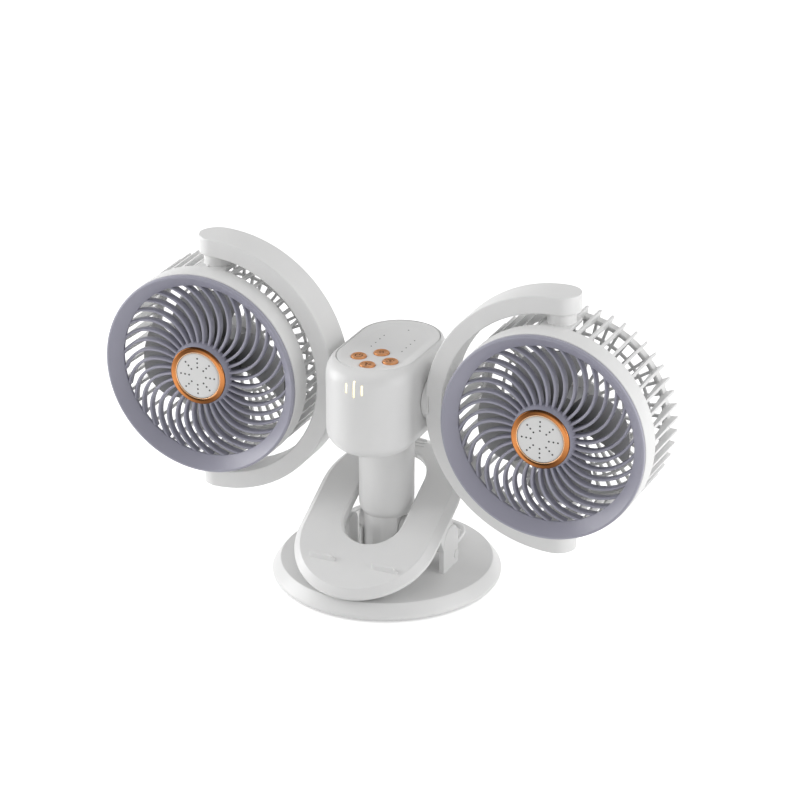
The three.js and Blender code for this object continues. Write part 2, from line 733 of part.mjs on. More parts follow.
function yokeRetainer() {
  const outerFace = -yokeOuter - yokeGap - headWall - clearance;
  return turned([
    [hubSpigotRadius + clearance, outerFace - 2.4], [hubSpigotRadius + 4, outerFace - 2.4],
    [hubSpigotRadius + 4, outerFace], [hubSpigotRadius + clearance, outerFace],
  ], 16).rotate([0, 0, -90]);
}

// ---------------------------------------------------------------- fans
const finPitch = 360 / finCount;
const finStart = 2.5;

// a flat fin in the plane through the fan's axis, at an angle clockwise from the top
function fin(points, degrees) {
  const outline = new THREE.Shape(points.map(([r, y]) => new THREE.Vector2(r, y)));
  const geometry = new THREE.ExtrudeGeometry(outline, { depth: finThickness, bevelEnabled: false });
  const angle = radians(degrees);
  const turn = new THREE.Matrix4().makeBasis(
    new THREE.Vector3(Math.sin(angle), 0, Math.cos(angle)),
    new THREE.Vector3(0, 1, 0),
    new THREE.Vector3(-Math.cos(angle), 0, Math.sin(angle)));
  return solid(geometry.translate(0, 0, -finThickness / 2).applyMatrix4(turn));
}

const rearHub = 20;
const rearDepth = 3;
const rimDepth = 6.4;
const rimWall = 2.2;
const spokeEvery = 2;

function rearHousing() {
  const start = radians(finStart + finPitch / 2);
  const inner = housingRadius - housingWall;
  const rimBack = cageBack - 0.5;
  const band = turned([
    [inner, bandFront], [housingRadius, bandFront], [housingRadius, bandBack], [inner, bandBack],
  ], finCount, false, start);
  const rim = turned([
    [cageRimRadius - rimWall, rimBack - rimDepth], [cageRimRadius, rimBack - rimDepth],
    [cageRimRadius, rimBack], [cageRimRadius - rimWall, rimBack],
  ], finCount, false, start);
  const hub = turned([
    [0, cageBack - rearDepth], [rearHub, cageBack - rearDepth], [rearHub, rimBack], [rearHub - 2, cageBack],
    [0, cageBack],
  ], 24, false, start);

  // fins run back from the band, past the rim, and every second one goes on as a spoke to the hub
  const finOutline = [
    [inner + 0.7, bandBack - 0.6], [housingRadius - 0.2, bandBack - 0.6],
    [housingRadius, rimBack - 0.3], [cageRimRadius - 0.8, rimBack - 0.3],
  ];
  const spokeOutline = [
    [rearHub - 1, rimBack - 0.3], [rearHub - 1, cageBack - rearDepth + 0.3],
    [cageRimRadius - rimWall + 0.8, rimBack - rearDepth], [cageRimRadius - rimWall + 0.8, rimBack - 0.3],
  ];
  let housing = join(band, rim, hub);
  for (let i = 0; i < finCount; i++) {
    const angle = finStart + finPitch * i;
    housing = housing.add(fin(finOutline, angle));
    if (i % spokeEvery === 0) housing = housing.add(fin(spokeOutline, angle));
  }

  // a solid saddle and a neck at the top and at the bottom, where the fan pans in its yoke
  const saddle = block([-neckRadius - 1, neckRadius + 1], [bandBack - 1, neckRadius + 1.5],
    [inner - 1.2, housingRadius - 0.8]);
  const neck = bar('z', inner + 0.5, neckEnd, 0, 0, neckRadius, 24);
  const pinHole = bar('z', inner + 1.2, neckEnd + 1, 0, 0, panPinRadius + clearance, 12);
  for (const turn of [0, 180]) {
    housing = housing.add(join(saddle, neck).rotate([0, turn, 0])).subtract(pinHole.rotate([0, turn, 0]));
  }
  return housing;
}

const ribPitch = 360 / ribCount;
const ribInner = hubRadius - 1.2;
const ribOuter = grilleThroat + 0.7;

function grilleRib(degrees) {
  const rings = [];
  const steps = 3;
  for (let i = 0; i <= steps; i++) {
    const t = i / steps;
    const r = ribInner + (ribOuter - ribInner) * t;
    const angle = radians(degrees - ribTwist * t * t);
    // slope of the curve, so that the rib keeps its thickness across it
    const lean = Math.atan2(r * radians(ribTwist) * 2 * t, ribOuter - ribInner);
    const half = ribThickness / 2 / Math.cos(lean) / r;
    const bow = ribBow * Math.sin(Math.PI * t);
    const front = THREE.MathUtils.lerp(hubFront + 1.9, grilleFront + 6.95, t) - bow;
    const back = THREE.MathUtils.lerp(hubFront + 4.6, grilleFront + 8, t) + bow / 2;
    const nose = half * 0.55;
    rings.push([[angle - nose, front], [angle + nose, front], [angle + half, back], [angle - half, back]]
      .map(([a, y]) => [r * Math.sin(a), y, r * Math.cos(a)]));
  }
  return skinned(rings);
}

function frontGrille() {
  const seat = bandFront - clearance;
  const plugRadius = housingRadius - housingWall - clearance;
  const throatTwist = ribTwist * ((grilleThroat - ribInner) / (ribOuter - ribInner)) ** 2;
  const rim = turned([
    [grilleRadius, seat], [grilleRadius, grilleFront + 0.8], [grilleRadius - 1.4, grilleFront],
    [grilleThroat, grilleFront + 6.6], [grilleThroat, grilleFront + 9],
    [plugRadius, seat + 1.4], [plugRadius, seat],
  ], ribCount, false, radians(ribPitch / 2 - throatTwist));
  const hub = turned([
    [0, hubFront], [hubRadius - 1.6, hubFront], [hubRadius, hubFront + 1.4], [hubRadius, hubFront + 5],
    [0, hubFront + 5],
  ], ribCount, false, radians(ribPitch / 2));
  let grille = rim.add(hub);
  for (let i = 0; i < ribCount; i++) grille = grille.add(grilleRib(ribPitch * i));
  return grille;
}

function hubTrim() {
  const back = hubFront - clearance;
  return turned([
    [trimRadius, back], [trimRadius - 0.9, back - 1.6], [trimRadius - trimWidth + 0.9, back - 1.6],
    [trimRadius - trimWidth, back],
  ], 24);
}

function hubCap() {
  const back = hubFront - clearance;
  const radius = trimRadius - trimWidth - clearance;
  return turned([[0, back], [radius, back], [radius - 0.5, back - 1.1], [0, back - 1.4]], 20);
}

function motor() {
  const back = cageBack - rearDepth - clearance;
  const body = turned([
    [0, motorFront], [5, motorFront], [5, motorFront + 2], [motorRadius, motorFront + 2], [motorRadius, back],
    [0, back],
  ], 20);
  return body.subtract(bar('y', motorFront - 1, motorFront + 12, 0, 0, shaftRadius + clearance, 10));
}

const impellerFront = -16;
const impellerBack = 0;

function blade(degrees) {
  const rings = [];
  const steps = 3;
  const middle = (impellerFront + impellerBack) / 2;
  for (let i = 0; i <= steps; i++) {
    const t = i / steps;
    const r = impellerHub - 1 + (bladeTip - impellerHub + 1) * t;
    const sweep = 22 + 30 * Math.sin(Math.PI * Math.min(1, t * 0.75)) - 12 * t * t;
    const halfSpread = (sweep * 8) / (8 + r * 0.32);   // degrees, narrower as the circle grows
    const lead = 8 * t;
    const rise = 7 - 2 * t;
    const thick = 0.9;
    const across = [-1, 0, 1];
    const line = across.map((s) => [
      radians(degrees + lead + halfSpread * s),
      middle + rise * s - 1.2 * (1 - s * s),
    ]);
    const ring = [...line.map(([a, y]) => [a, y - thick]), ...line.reverse().map(([a, y]) => [a, y + thick])];
    rings.push(ring.map(([a, y]) => [r * Math.sin(a), y, r * Math.cos(a)]));
  }
  return skinned(rings);
}

function impeller() {
  const cup = turned([
    [0, impellerFront], [impellerHub - 2.5, impellerFront], [impellerHub, impellerFront + 3],
    [impellerHub, impellerBack], [impellerHub - 2, impellerBack], [impellerHub - 2, impellerFront + 4],
    [4, impellerFront + 4], [4, impellerBack - 1], [0, impellerBack - 1],
  ], 16);
  let whole = cup;
  for (let i = 0; i < bladeCount; i++) whole = whole.add(blade((360 / bladeCount) * i));
  return whole.subtract(bar('y', impellerFront + 3.5, impellerBack + 1, 0, 0, shaftRadius + clearance, 10));
}

const fanPieces = [
  ['front_grille', frontGrille(), finishes.lilac],
  ['hub_trim', hubTrim(), finishes.copper],
  ['hub_cap', hubCap(), finishes.white],
  ['rear_housing', rearHousing(), finishes.white],
  ['motor', motor(), finishes.grey],
  ['motor_shaft', bar('y', impellerFront + 4, motorFront + 11.5, 0, 0, shaftRadius, 10), finishes.steel],
  ['impeller', impeller(), finishes.grey],
];
const yokeShape = yoke();
const retainerShape = yokeRetainer();
const panPin = bar('z', housingRadius - housingWall + 1.6, yokeInner + 6.6, 0, 0, panPinRadius, 12);

for (const [name, side] of [['left', -1], ['right', 1]]) {
  const fan = new THREE.Group();
  fan.position.set(side * fanX, 0, fanAxisHeight);
  model.add(fan);
  const facing = side > 0 ? 0 : 180;
  addPart(`${name}_yoke`, yokeShape.rotate([0, 0, facing]), finishes.white, fan);
  addPart(`${name}_yoke_retainer`, retainerShape.rotate([0, 0, facing]), finishes.grey, fan);
  addPart(`${name}_pan_pin_top`, panPin, finishes.steel, fan);
  addPart(`${name}_pan_pin_bottom`, panPin.rotate([180, 0, 0]), finishes.steel, fan);
  for (const [piece, shape, material] of fanPieces) addPart(`${name}_${piece}`, shape, material, fan);
}

export default model;
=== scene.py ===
import math
from functools import partial

import bmesh
import bpy
from mathutils import Matrix, Vector


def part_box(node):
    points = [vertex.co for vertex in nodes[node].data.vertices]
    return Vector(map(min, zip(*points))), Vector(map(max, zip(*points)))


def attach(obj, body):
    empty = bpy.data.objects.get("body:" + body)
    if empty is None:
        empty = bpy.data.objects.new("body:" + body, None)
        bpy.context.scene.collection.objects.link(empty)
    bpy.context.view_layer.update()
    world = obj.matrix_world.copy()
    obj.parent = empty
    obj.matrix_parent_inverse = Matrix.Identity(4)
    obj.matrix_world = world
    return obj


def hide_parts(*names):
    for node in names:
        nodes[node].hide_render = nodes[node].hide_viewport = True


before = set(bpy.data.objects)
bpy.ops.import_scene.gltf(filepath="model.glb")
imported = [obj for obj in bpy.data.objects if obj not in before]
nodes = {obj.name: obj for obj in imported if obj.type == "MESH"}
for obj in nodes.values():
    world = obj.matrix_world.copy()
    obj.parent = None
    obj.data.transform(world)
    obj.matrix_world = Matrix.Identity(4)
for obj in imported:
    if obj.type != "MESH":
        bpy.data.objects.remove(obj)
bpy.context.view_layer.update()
mm = 0.001
fullTurn = 2 * math.pi
print("frame loaded,", len(nodes), "nodes")


# ---- small helpers for shapes, all written in millimetres

def placed(name, data, sharpAngle):
    piece = bpy.data.objects.new(name, data)
    bpy.context.scene.collection.objects.link(piece)
    data.polygons.foreach_set("use_smooth", [True] * len(data.polygons))
    data.set_sharp_from_angle(angle=math.radians(sharpAngle))
    return piece


def meshPiece(name, points, faces, material, sharpAngle=40):
    data = bpy.data.meshes.new(name)
    data.from_pydata([Vector(p) * mm for p in points], [], faces)
    same = 0.0005 * mm
    shape = bmesh.new()
    shape.from_mesh(data)
    bmesh.ops.remove_doubles(shape, verts=shape.verts, dist=same)
    bmesh.ops.dissolve_degenerate(shape, edges=shape.edges, dist=same)
    bmesh.ops.recalc_face_normals(shape, faces=shape.faces)
    shape.to_mesh(data)
    shape.free()
    data.materials.append(material)
    return placed(name, data, sharpAngle)


def evenNormals(piece):
    # keeps broad faces flat beside their rounded edges
    modifier = piece.modifiers.new("even normals", "WEIGHTED_NORMAL")
    modifier.keep_sharp = True
    modifier.weight = 100
    return piece


def evaluated(piece):
    bpy.context.view_layer.update()
    graph = bpy.context.evaluated_depsgraph_get()
    return bpy.data.meshes.new_from_object(piece.evaluated_get(graph))


def settle(piece):
    # the piece with its modifiers worked in, as a plain mesh
    data = evaluated(piece)
    data.name = piece.name
    piece.modifiers.clear()
    piece.data = data
    return piece


def carve(piece, tools, operation="DIFFERENCE"):
    for tool in tools:
        modifier = piece.modifiers.new("carve", "BOOLEAN")
        modifier.operation = operation
        modifier.solver = "EXACT"
        modifier.object = tool
    settle(piece)
    for tool in tools:
        bpy.data.objects.remove(tool)
    return piece


def softEdges(piece, width):
    modifier = piece.modifiers.new("soft edges", "BEVEL")
    modifier.width = width * mm
    modifier.segments = 3
    modifier.limit_method = "ANGLE"
    modifier.angle_limit = math.radians(32)
    modifier.harden_normals = True


def paint(piece, material):
    # one material all over
    piece.data.materials.clear()
    piece.data.materials.append(material)


def joined(name, pieces, material=None):
    for piece in pieces:
        settle(piece)
    with bpy.context.temp_override(active_object=pieces[0], object=pieces[0],
                                   selected_editable_objects=pieces, selected_objects=pieces):
        bpy.ops.object.join()
    pieces[0].name = name
    pieces[0].data.name = name
    if material:
        paint(pieces[0], material)
    return pieces[0]


def moved(piece, matrix):
    # moves the mesh and leaves the object at the origin; the matrix is in millimetres
    place = matrix.copy()
    place.translation = matrix.translation * mm
    piece.data.transform(place)
    return piece


def sloped(x, y, z, degrees):
    return Matrix.Translation((x, y, z)) @ Matrix.Rotation(math.radians(degrees), 4, "X")


def loftPiece(name, rings, material, closed=False, sharpAngle=40, capped=True):
    # rings of equal size joined one to the next; closed joins the last to the first as well
    size = len(rings[0])
    faces = []
    for level in range(len(rings) if closed else len(rings) - 1):
        here, there = level * size, (level + 1) % len(rings) * size
        faces += [(here + i, here + (i + 1) % size, there + (i + 1) % size, there + i) for i in range(size)]
    if capped and not closed:
        last = (len(rings) - 1) * size
        faces += [tuple(range(size)), tuple(range(last, last + size))]
    return meshPiece(name, [p for ring in rings for p in ring], faces, material, sharpAngle)


def angles(first, last, steps):
    return [first + (last - first) * k / steps for k in range(steps + 1)]


def arc(u, v, radius, first, last, steps):
    return [(u + radius * math.cos(a), v + radius * math.sin(a)) for a in angles(first, last, steps)]


def circle(radius, steps, u=0, v=0):
    return arc(u, v, radius, 0, fullTurn, steps)[:-1]


def rounded(corners, closed=True, steps=4):
    # corners are (u, v) or (u, v, radius), where a radius turns the corner into an arc
    path = []
    for i, corner in enumerate(corners):
        here = Vector(corner[:2])
        if len(corner) < 3 or (not closed and i in (0, len(corners) - 1)):
            path.append(tuple(here))
            continue
        before = Vector(corners[i - 1][:2]) - here
        after = Vector(corners[(i + 1) % len(corners)][:2]) - here
        half = before.angle(after) / 2
        reach = min(corner[2] / math.tan(half), before.length * 0.49, after.length * 0.49)
        radius = reach * math.tan(half)
        centre = here + (before.normalized() + after.normalized()).normalized() * radius / math.sin(half)
        start = here + before.normalized() * reach - centre
        end = here + after.normalized() * reach - centre
        first = math.atan2(start.y, start.x)
        turn = (math.atan2(end.y, end.x) - first + math.pi) % fullTurn - math.pi
        path += arc(centre.x, centre.y, radius, first, first + turn, steps)
    return path


def onZ(u, v, h):
    return (u, v, h)


def onX(u, v, h):
    return (h, u, v)


def onY(u, v, h):
    return (u, h, v)


def sideways(side, y=0, z=0):
    # along X on one side of the object, round an axis at y and z
    return lambda u, v, h: (side * h, y + u, z + v)


def standing(x, y):
    return lambda u, v, h: (x + u, y + v, h)


def turnedPiece(name, corners, material, segments=96, place=onZ, sharpAngle=40, steps=4):
    # a profile of (radius, height) turned about an axis; it starts and ends on the axis or closes
    closed = corners[0][0] > 0
    profile = rounded(corners, closed, steps) if any(len(corner) > 2 for corner in corners) else corners
    rings = [[place(u, v, height) for u, v in circle(radius, segments)] for radius, height in profile]
    return loftPiece(name, rings, material, closed, sharpAngle, capped=False)


def edgeLevels(low, high, edge, steps):
    # (height, inset) of a slab whose two rims are rounded
    foot = [(low + edge * (1 - math.cos(a)), edge * (1 - math.sin(a))) for a in angles(0, math.pi / 2, steps)]
    return foot + [(low + high - h, inset) for h, inset in reversed(foot)]


def slabPiece(name, outlineAt, low, high, edge, place, material, steps=3):
    rings = [[place(u, v, h) for u, v in outlineAt(inset)] for h, inset in edgeLevels(low, high, edge, steps)]
    return evenNormals(loftPiece(name, rings, material))


def racetrack(radius, v0, v1, steps):
    # a closed outline of two half circles round (0, v0) and (0, v1)
    return arc(0, v1, radius, 0, math.pi, steps) + arc(0, v0, radius, math.pi, fullTurn, steps)


def arcBand(inner, outer, first, last, steps=40):
    first, last = math.radians(first), math.radians(last)
    return arc(0, 0, outer, first, last, steps) + arc(0, 0, inner, last, first, steps)


def arch(u, v, radius, foot):
    # straight sides up from a foot to a round top
    def outlineAt(inset):
        r = radius - inset
        return arc(u, v, r, 0, math.pi, 28) + [(u - r, foot), (u + r, foot)]
    return outlineAt


def rectangle(u0, u1, v0, v1, corner=0.6):
    def outlineAt(inset):
        r = max(corner - inset, 0.05)
        return rounded([(u0 + inset, v0 + inset, r), (u1 - inset, v0 + inset, r),
                        (u1 - inset, v1 - inset, r), (u0 + inset, v1 - inset, r)])
    return outlineAt


def flatPiece(name, outline, low, high, material):
    return loftPiece(name, [[(u, v, h) for u, v in outline] for h in (low, high)], material)


blankTool = bpy.data.materials.new("blank tool")


def toolBlock(low, high):
    # a plain block for carving, from its low corner to its high one
    (x0, y0, z0), (x1, y1, z1) = low, high
    return flatPiece("tool", [(x0, y0), (x1, y0), (x1, y1), (x0, y1)], z0, z1, blankTool)


def toolBar(radius, low, high, place, u=0, v=0, segments=64):
    rings = [[place(a, b, h) for a, b in circle(radius, segments, u, v)] for h in (low, high)]
    return loftPiece("tool", rings, blankTool)


# ---- node helpers and shared effects for the materials

def feed(tree, sockets, values):
    # each socket is linked from another one or set to a plain value
    for label, value in values.items():
        if isinstance(value, bpy.types.NodeSocket):
            tree.links.new(value, sockets[label])
        else:
            sockets[label].default_value = value


def addNode(tree, kind, values=None, **settings):
    node = tree.nodes.new(kind)
    for label, value in settings.items():
        setattr(node, label, value)
    feed(tree, node.inputs, values or {})
    return node.outputs


def mathNode(tree, operation, *values):
    return addNode(tree, "ShaderNodeMath", dict(enumerate(values)), operation=operation)[0]


def vectorNode(tree, operation, *values):
    return addNode(tree, "ShaderNodeVectorMath", dict(enumerate(values)), operation=operation)


def noiseNode(tree, coordinates, sizeInMm, detail):
    # sizeInMm is a socket that gives the size of one cell
    values = {"Detail": detail, "Vector": coordinates, "Scale": mathNode(tree, "DIVIDE", 1000.0, sizeInMm)}
    return addNode(tree, "ShaderNodeTexNoise", values)["Fac"]


def mixedColour(tree, factor, base, tint):
    values = {"Factor": factor, "A": base, "B": tint}
    return addNode(tree, "ShaderNodeMix", values, data_type="RGBA")["Result"]


def scaledColour(tree, colour, factor):
    return addNode(tree, "ShaderNodeVectorMath", {0: colour, "Scale": factor}, operation="SCALE")[0]


def greyFrom(tree, value):
    return addNode(tree, "ShaderNodeCombineColor", {"Red": value, "Green": value, "Blue": value})["Color"]


def acrossAxis(tree, centre, axisScale):
    # the way to here from an axis through the centre
    place = addNode(tree, "ShaderNodeTexCoord")["Object"]
    return vectorNode(tree, "MULTIPLY", vectorNode(tree, "SUBTRACT", place, centre)[0], axisScale)[0]


def socketType(value):
    if isinstance(value, str):
        return "NodeSocket" + value
    if isinstance(value, tuple):
        return "NodeSocketColor" if len(value) == 4 else "NodeSocketVector"
    return "NodeSocketInt" if isinstance(value, int) else "NodeSocketFloat"


def newGroup(name, kind, inputs, outputs):
    # an input is named with its first value, or with its type where it has none
    group = bpy.data.node_groups.new(name, kind)
    for label, value in inputs.items():
        socket = group.interface.new_socket(label, in_out="INPUT", socket_type=socketType(value))
        if not isinstance(value, str):
            socket.default_value = value
    for label, value in outputs.items():
        group.interface.new_socket(label, in_out="OUTPUT", socket_type=socketType(value))
    return group, group.nodes.new("NodeGroupInput").outputs, group.nodes.new("NodeGroupOutput").inputs


surfaceOutputs = {"Color": "Color", "Roughness": "Float", "Height": "Float"}


def buildMouldedSkin():
    # the fine spark-eroded grain and the slow clouding of a moulded part
    group, given, out = newGroup("moulded skin", "ShaderNodeTree", {
        "Base": (0.8, 0.8, 0.8, 1), "Tint": (0.7, 0.7, 0.7, 1), "Roughness": 0.4, "Roughness Spread": 0.08,
        "Grain": 0.35, "Cloud Size": 30.0,
    }, surfaceOutputs)
    calc = partial(mathNode, group)
    coordinates = addNode(group, "ShaderNodeTexCoord")["Object"]
    grain = noiseNode(group, coordinates, given["Grain"], 2)
    cloud = noiseNode(group, coordinates, given["Cloud Size"], 4)
    spread = calc("MULTIPLY_ADD", calc("SUBTRACT", cloud, 0.5), 2.2, 0.5)
    both = calc("ADD", cloud, calc("MULTIPLY", grain, 0.6))
    uneven = calc("SUBTRACT", both, 0.8)
    rough = calc("MULTIPLY_ADD", uneven, given["Roughness Spread"], given["Roughness"])
    feed(group, out, {"Color": mixedColour(group, spread, given["Base"], given["Tint"]),
                      "Roughness": rough, "Height": grain})
    return group


def buildTurnedLinesAndPaintedWedges():
    # faint rings left by turning or polishing, round an axis through the given centre, with a painted
    # reflection shade in two wedges
    group, given, out = newGroup("turned lines", "ShaderNodeTree", {
        "Centre": (0, 0, 0), "Axis Scale": (1, 0, 1), "Pitch": 0.25, "Base": (0.8, 0.5, 0.3, 1),
        "Tint": (0.7, 0.4, 0.2, 1), "Roughness": 0.25, "Sweep": 0.0, "Sweep Turn": 2.3,
    }, surfaceOutputs)
    calc = partial(mathNode, group)
    flat = acrossAxis(group, given["Centre"], given["Axis Scale"])
    distance = vectorNode(group, "LENGTH", flat)["Value"]
    scale = calc("DIVIDE", 1000.0, given["Pitch"])
    line = addNode(group, "ShaderNodeTexNoise", noise_dimensions="1D",
                   values={"Detail": 3, "W": distance, "Scale": scale})["Fac"]
    rough = calc("MULTIPLY_ADD", calc("SUBTRACT", line, 0.5), 0.2, given["Roughness"])
    # painted reflection shade: two broad darker wedges round the axis, standing in for the bow-tie reflection
    # that spun metal shows
    parts = addNode(group, "ShaderNodeSeparateXYZ", {0: flat})
    turn = calc("ARCTAN2", parts["Z"], parts["X"])
    wave = calc("COSINE", calc("MULTIPLY_ADD", turn, 2.0, given["Sweep Turn"]))
    paintedWedgeShade = calc("MULTIPLY", calc("MULTIPLY_ADD", wave, 0.5, 0.5), given["Sweep"])
    colour = mixedColour(group, line, given["Base"], given["Tint"])
    feed(group, out, {"Color": scaledColour(group, colour, calc("SUBTRACT", 1.0, paintedWedgeShade)),
                      "Roughness": rough, "Height": line})
    return group


def buildPaintedRootShade():
    # painted shade: darkens a colour towards an axis along Y, standing in for the shadow deep round the fan's
    # hub
    group, given, out = newGroup("root shade", "ShaderNodeTree", {
        "Color": (0.6, 0.6, 0.6, 1), "Centre": (0, 0, 0), "Near": 0.018, "Far": 0.05, "Darkest": 0.3,
    }, {"Color": "Color"})
    distance = vectorNode(group, "LENGTH", acrossAxis(group, given["Centre"], (1, 0, 1)))["Value"]
    fade = addNode(group, "ShaderNodeMapRange", {
        "Value": distance, "From Min": given["Near"], "From Max": given["Far"],
        "To Min": given["Darkest"]})[0]
    feed(group, out, {"Color": scaledColour(group, given["Color"], fade)})
    return group


paintedRootShade = buildPaintedRootShade()
mouldedSkin = buildMouldedSkin()
turnedLinesAndPaintedWedges = buildTurnedLinesAndPaintedWedges()


def finishMaterial(name, group, values, bump, settings):
    # a Principled surface fed by one of the shared effects
    material = bpy.data.materials.new(name)
    material.use_nodes = True
    tree = material.node_tree
    effect = addNode(tree, "ShaderNodeGroup", values, node_tree=group)
    relief = addNode(tree, "ShaderNodeBump", {
        "Distance": bump * mm, "Strength": 1.0, "Height": effect["Height"]})
    feed(tree, tree.nodes["Principled BSDF"].inputs, {
        "Base Color": effect["Color"], "Roughness": effect["Roughness"], "Normal": relief["Normal"],
        **settings})
    material.diffuse_color = values["Base"]
    return material


# base colour, tint, roughness and the size of the grain
finishes = {
    "white": ((0.82, 0.82, 0.815, 1), (0.785, 0.785, 0.782, 1), 0.36, 0.3),
    "lilac": ((0.37, 0.366, 0.44, 1), (0.345, 0.342, 0.415, 1), 0.34, 0.3),
    "blade grey": ((0.62, 0.62, 0.615, 1), (0.58, 0.58, 0.578, 1), 0.42, 0.35),
    "black rubber": ((0.035, 0.035, 0.037, 1), (0.05, 0.05, 0.052, 1), 0.8, 0.6),
    "dark dot": ((0.012, 0.012, 0.013, 1), (0.02, 0.02, 0.021, 1), 0.6, 0.2),
    "inner grey": ((0.42, 0.42, 0.43, 1), (0.38, 0.38, 0.39, 1), 0.5, 0.4),
    "board": ((0.02, 0.12, 0.06, 1), (0.03, 0.16, 0.08, 1), 0.4, 1.2),
    "cell wrap": ((0.04, 0.15, 0.32, 1), (0.035, 0.13, 0.28, 1), 0.35, 0.8),
    "lit diffuser": ((1.0, 0.93, 0.66, 1), (1.0, 0.9, 0.58, 1), 0.4, 0.5),
}
# base colour, tint, roughness, pitch of the turning rings and depth of the painted reflection shade in two
# dark wedges
metals = {
    "copper": ((0.66, 0.265, 0.09, 1), (0.55, 0.2, 0.06, 1), 0.2, 0.5, 0.78),
    # the next is the ring's copper painted lighter, a painted highlight on its inner lip
    "highlight-painted copper": ((0.98, 0.68, 0.44, 1), (0.9, 0.58, 0.34, 1), 0.25, 0.5, 0),
    "button copper": ((1.0, 0.50, 0.235, 1), (0.86, 0.38, 0.15, 1), 0.36, 0.3, 0),
    "dark copper": ((0.36, 0.13, 0.045, 1), (0.3, 0.1, 0.035, 1), 0.4, 0.4, 0),
    "steel": ((0.52, 0.53, 0.54, 1), (0.44, 0.45, 0.46, 1), 0.3, 0.4, 0),
}


def mouldedMaterial(name, bump=0.012, **settings):
    values = dict(zip(("Base", "Tint", "Roughness", "Grain"), finishes[name]))
    return finishMaterial(name, mouldedSkin, values, bump, settings)


def metalMaterial(name, metal, centre, axisScale, metallic=1.0):
    values = dict(zip(("Base", "Tint", "Roughness", "Pitch", "Sweep"), metals[metal]))
    values.update({"Centre": centre, "Axis Scale": axisScale})
    return finishMaterial(name, turnedLinesAndPaintedWedges, values, 0.004, {"Metallic": metallic})


def paintedShadeMaterial(name, centre, near, far, paintedShadeDarkest):
    # a moulded plastic with painted shade that darkens it round the fan's axis
    material = mouldedMaterial(name)
    tree = material.node_tree
    surface = tree.nodes["Principled BSDF"].inputs["Base Color"]
    shade = addNode(tree, "ShaderNodeGroup", node_tree=paintedRootShade, values={
        "Color": surface.links[0].from_socket, "Centre": centre, "Near": near * mm, "Far": far * mm,
        "Darkest": paintedShadeDarkest})
    tree.links.new(shade["Color"], surface)
    return material


def lampMaterial():
    # a lit diffuser that glows in its own clouded colour
    material = mouldedMaterial("lit diffuser", 0.005, **{"Emission Strength": 0.9})
    tree = material.node_tree
    surface = tree.nodes["Principled BSDF"].inputs
    tree.links.new(surface["Base Color"].links[0].from_socket, surface["Emission Color"])
    return material


whitePlastic = mouldedMaterial("white")
lilacPlastic = mouldedMaterial("lilac")
footRubber = mouldedMaterial("black rubber", 0.05)
dotInk = mouldedMaterial("dark dot")
innerPlastic = mouldedMaterial("inner grey")
boardCoat = mouldedMaterial("board", 0.03)
cellWrap = mouldedMaterial("cell wrap")
litDiffuser = lampMaterial()
plainSteel = metalMaterial("steel", "steel", (0, 0, 0), (1, 1, 1))
darkCopper = metalMaterial("dark copper", "dark copper", (0, 0, 0), (1, 1, 0))
print("materials made")


# ---- geometry node trees for what repeats

def buildTree(name, inputs):
    # every tree takes a turn and a material for its finished pattern
    inputs = {"Geometry": "Geometry", **inputs, "Turn": "Rotation", "Material": "Material"}
    return newGroup(name, "GeometryNodeTree", inputs, {"Geometry": "Geometry"})


def spreadAround(tree, given, out, shape, first):
    # the shape repeated round Z, then turned, made real and given its material
    index = addNode(tree, "GeometryNodeInputIndex")[0]
    step = mathNode(tree, "DIVIDE", fullTurn, given["Count"])
    angle = mathNode(tree, "MULTIPLY_ADD", index, step, first)
    pattern = addNode(tree, "GeometryNodeInstanceOnPoints", {
        "Points": addNode(tree, "GeometryNodePoints", {"Count": given["Count"]})[0], "Instance": shape,
        "Rotation": addNode(tree, "ShaderNodeCombineXYZ", {"Z": angle})[0]})[0]
    turned = addNode(tree, "GeometryNodeTransform", {"Geometry": pattern, "Rotation": given["Turn"]})[0]
    real = addNode(tree, "GeometryNodeRealizeInstances", {0: turned})[0]
    feed(tree, out, {0: addNode(tree, "GeometryNodeSetMaterial", {
        "Geometry": real, "Material": given["Material"]})[0]})
    return tree


def buildRingPattern():
    # a unit shape repeated round Z
    tree, given, out = buildTree("ring pattern", {"Unit": "Object", "Count": 12, "First Angle": 0.0})
    unit = addNode(tree, "GeometryNodeObjectInfo", {"Object": given["Unit"]})["Geometry"]
    return spreadAround(tree, given, out, unit, given["First Angle"])


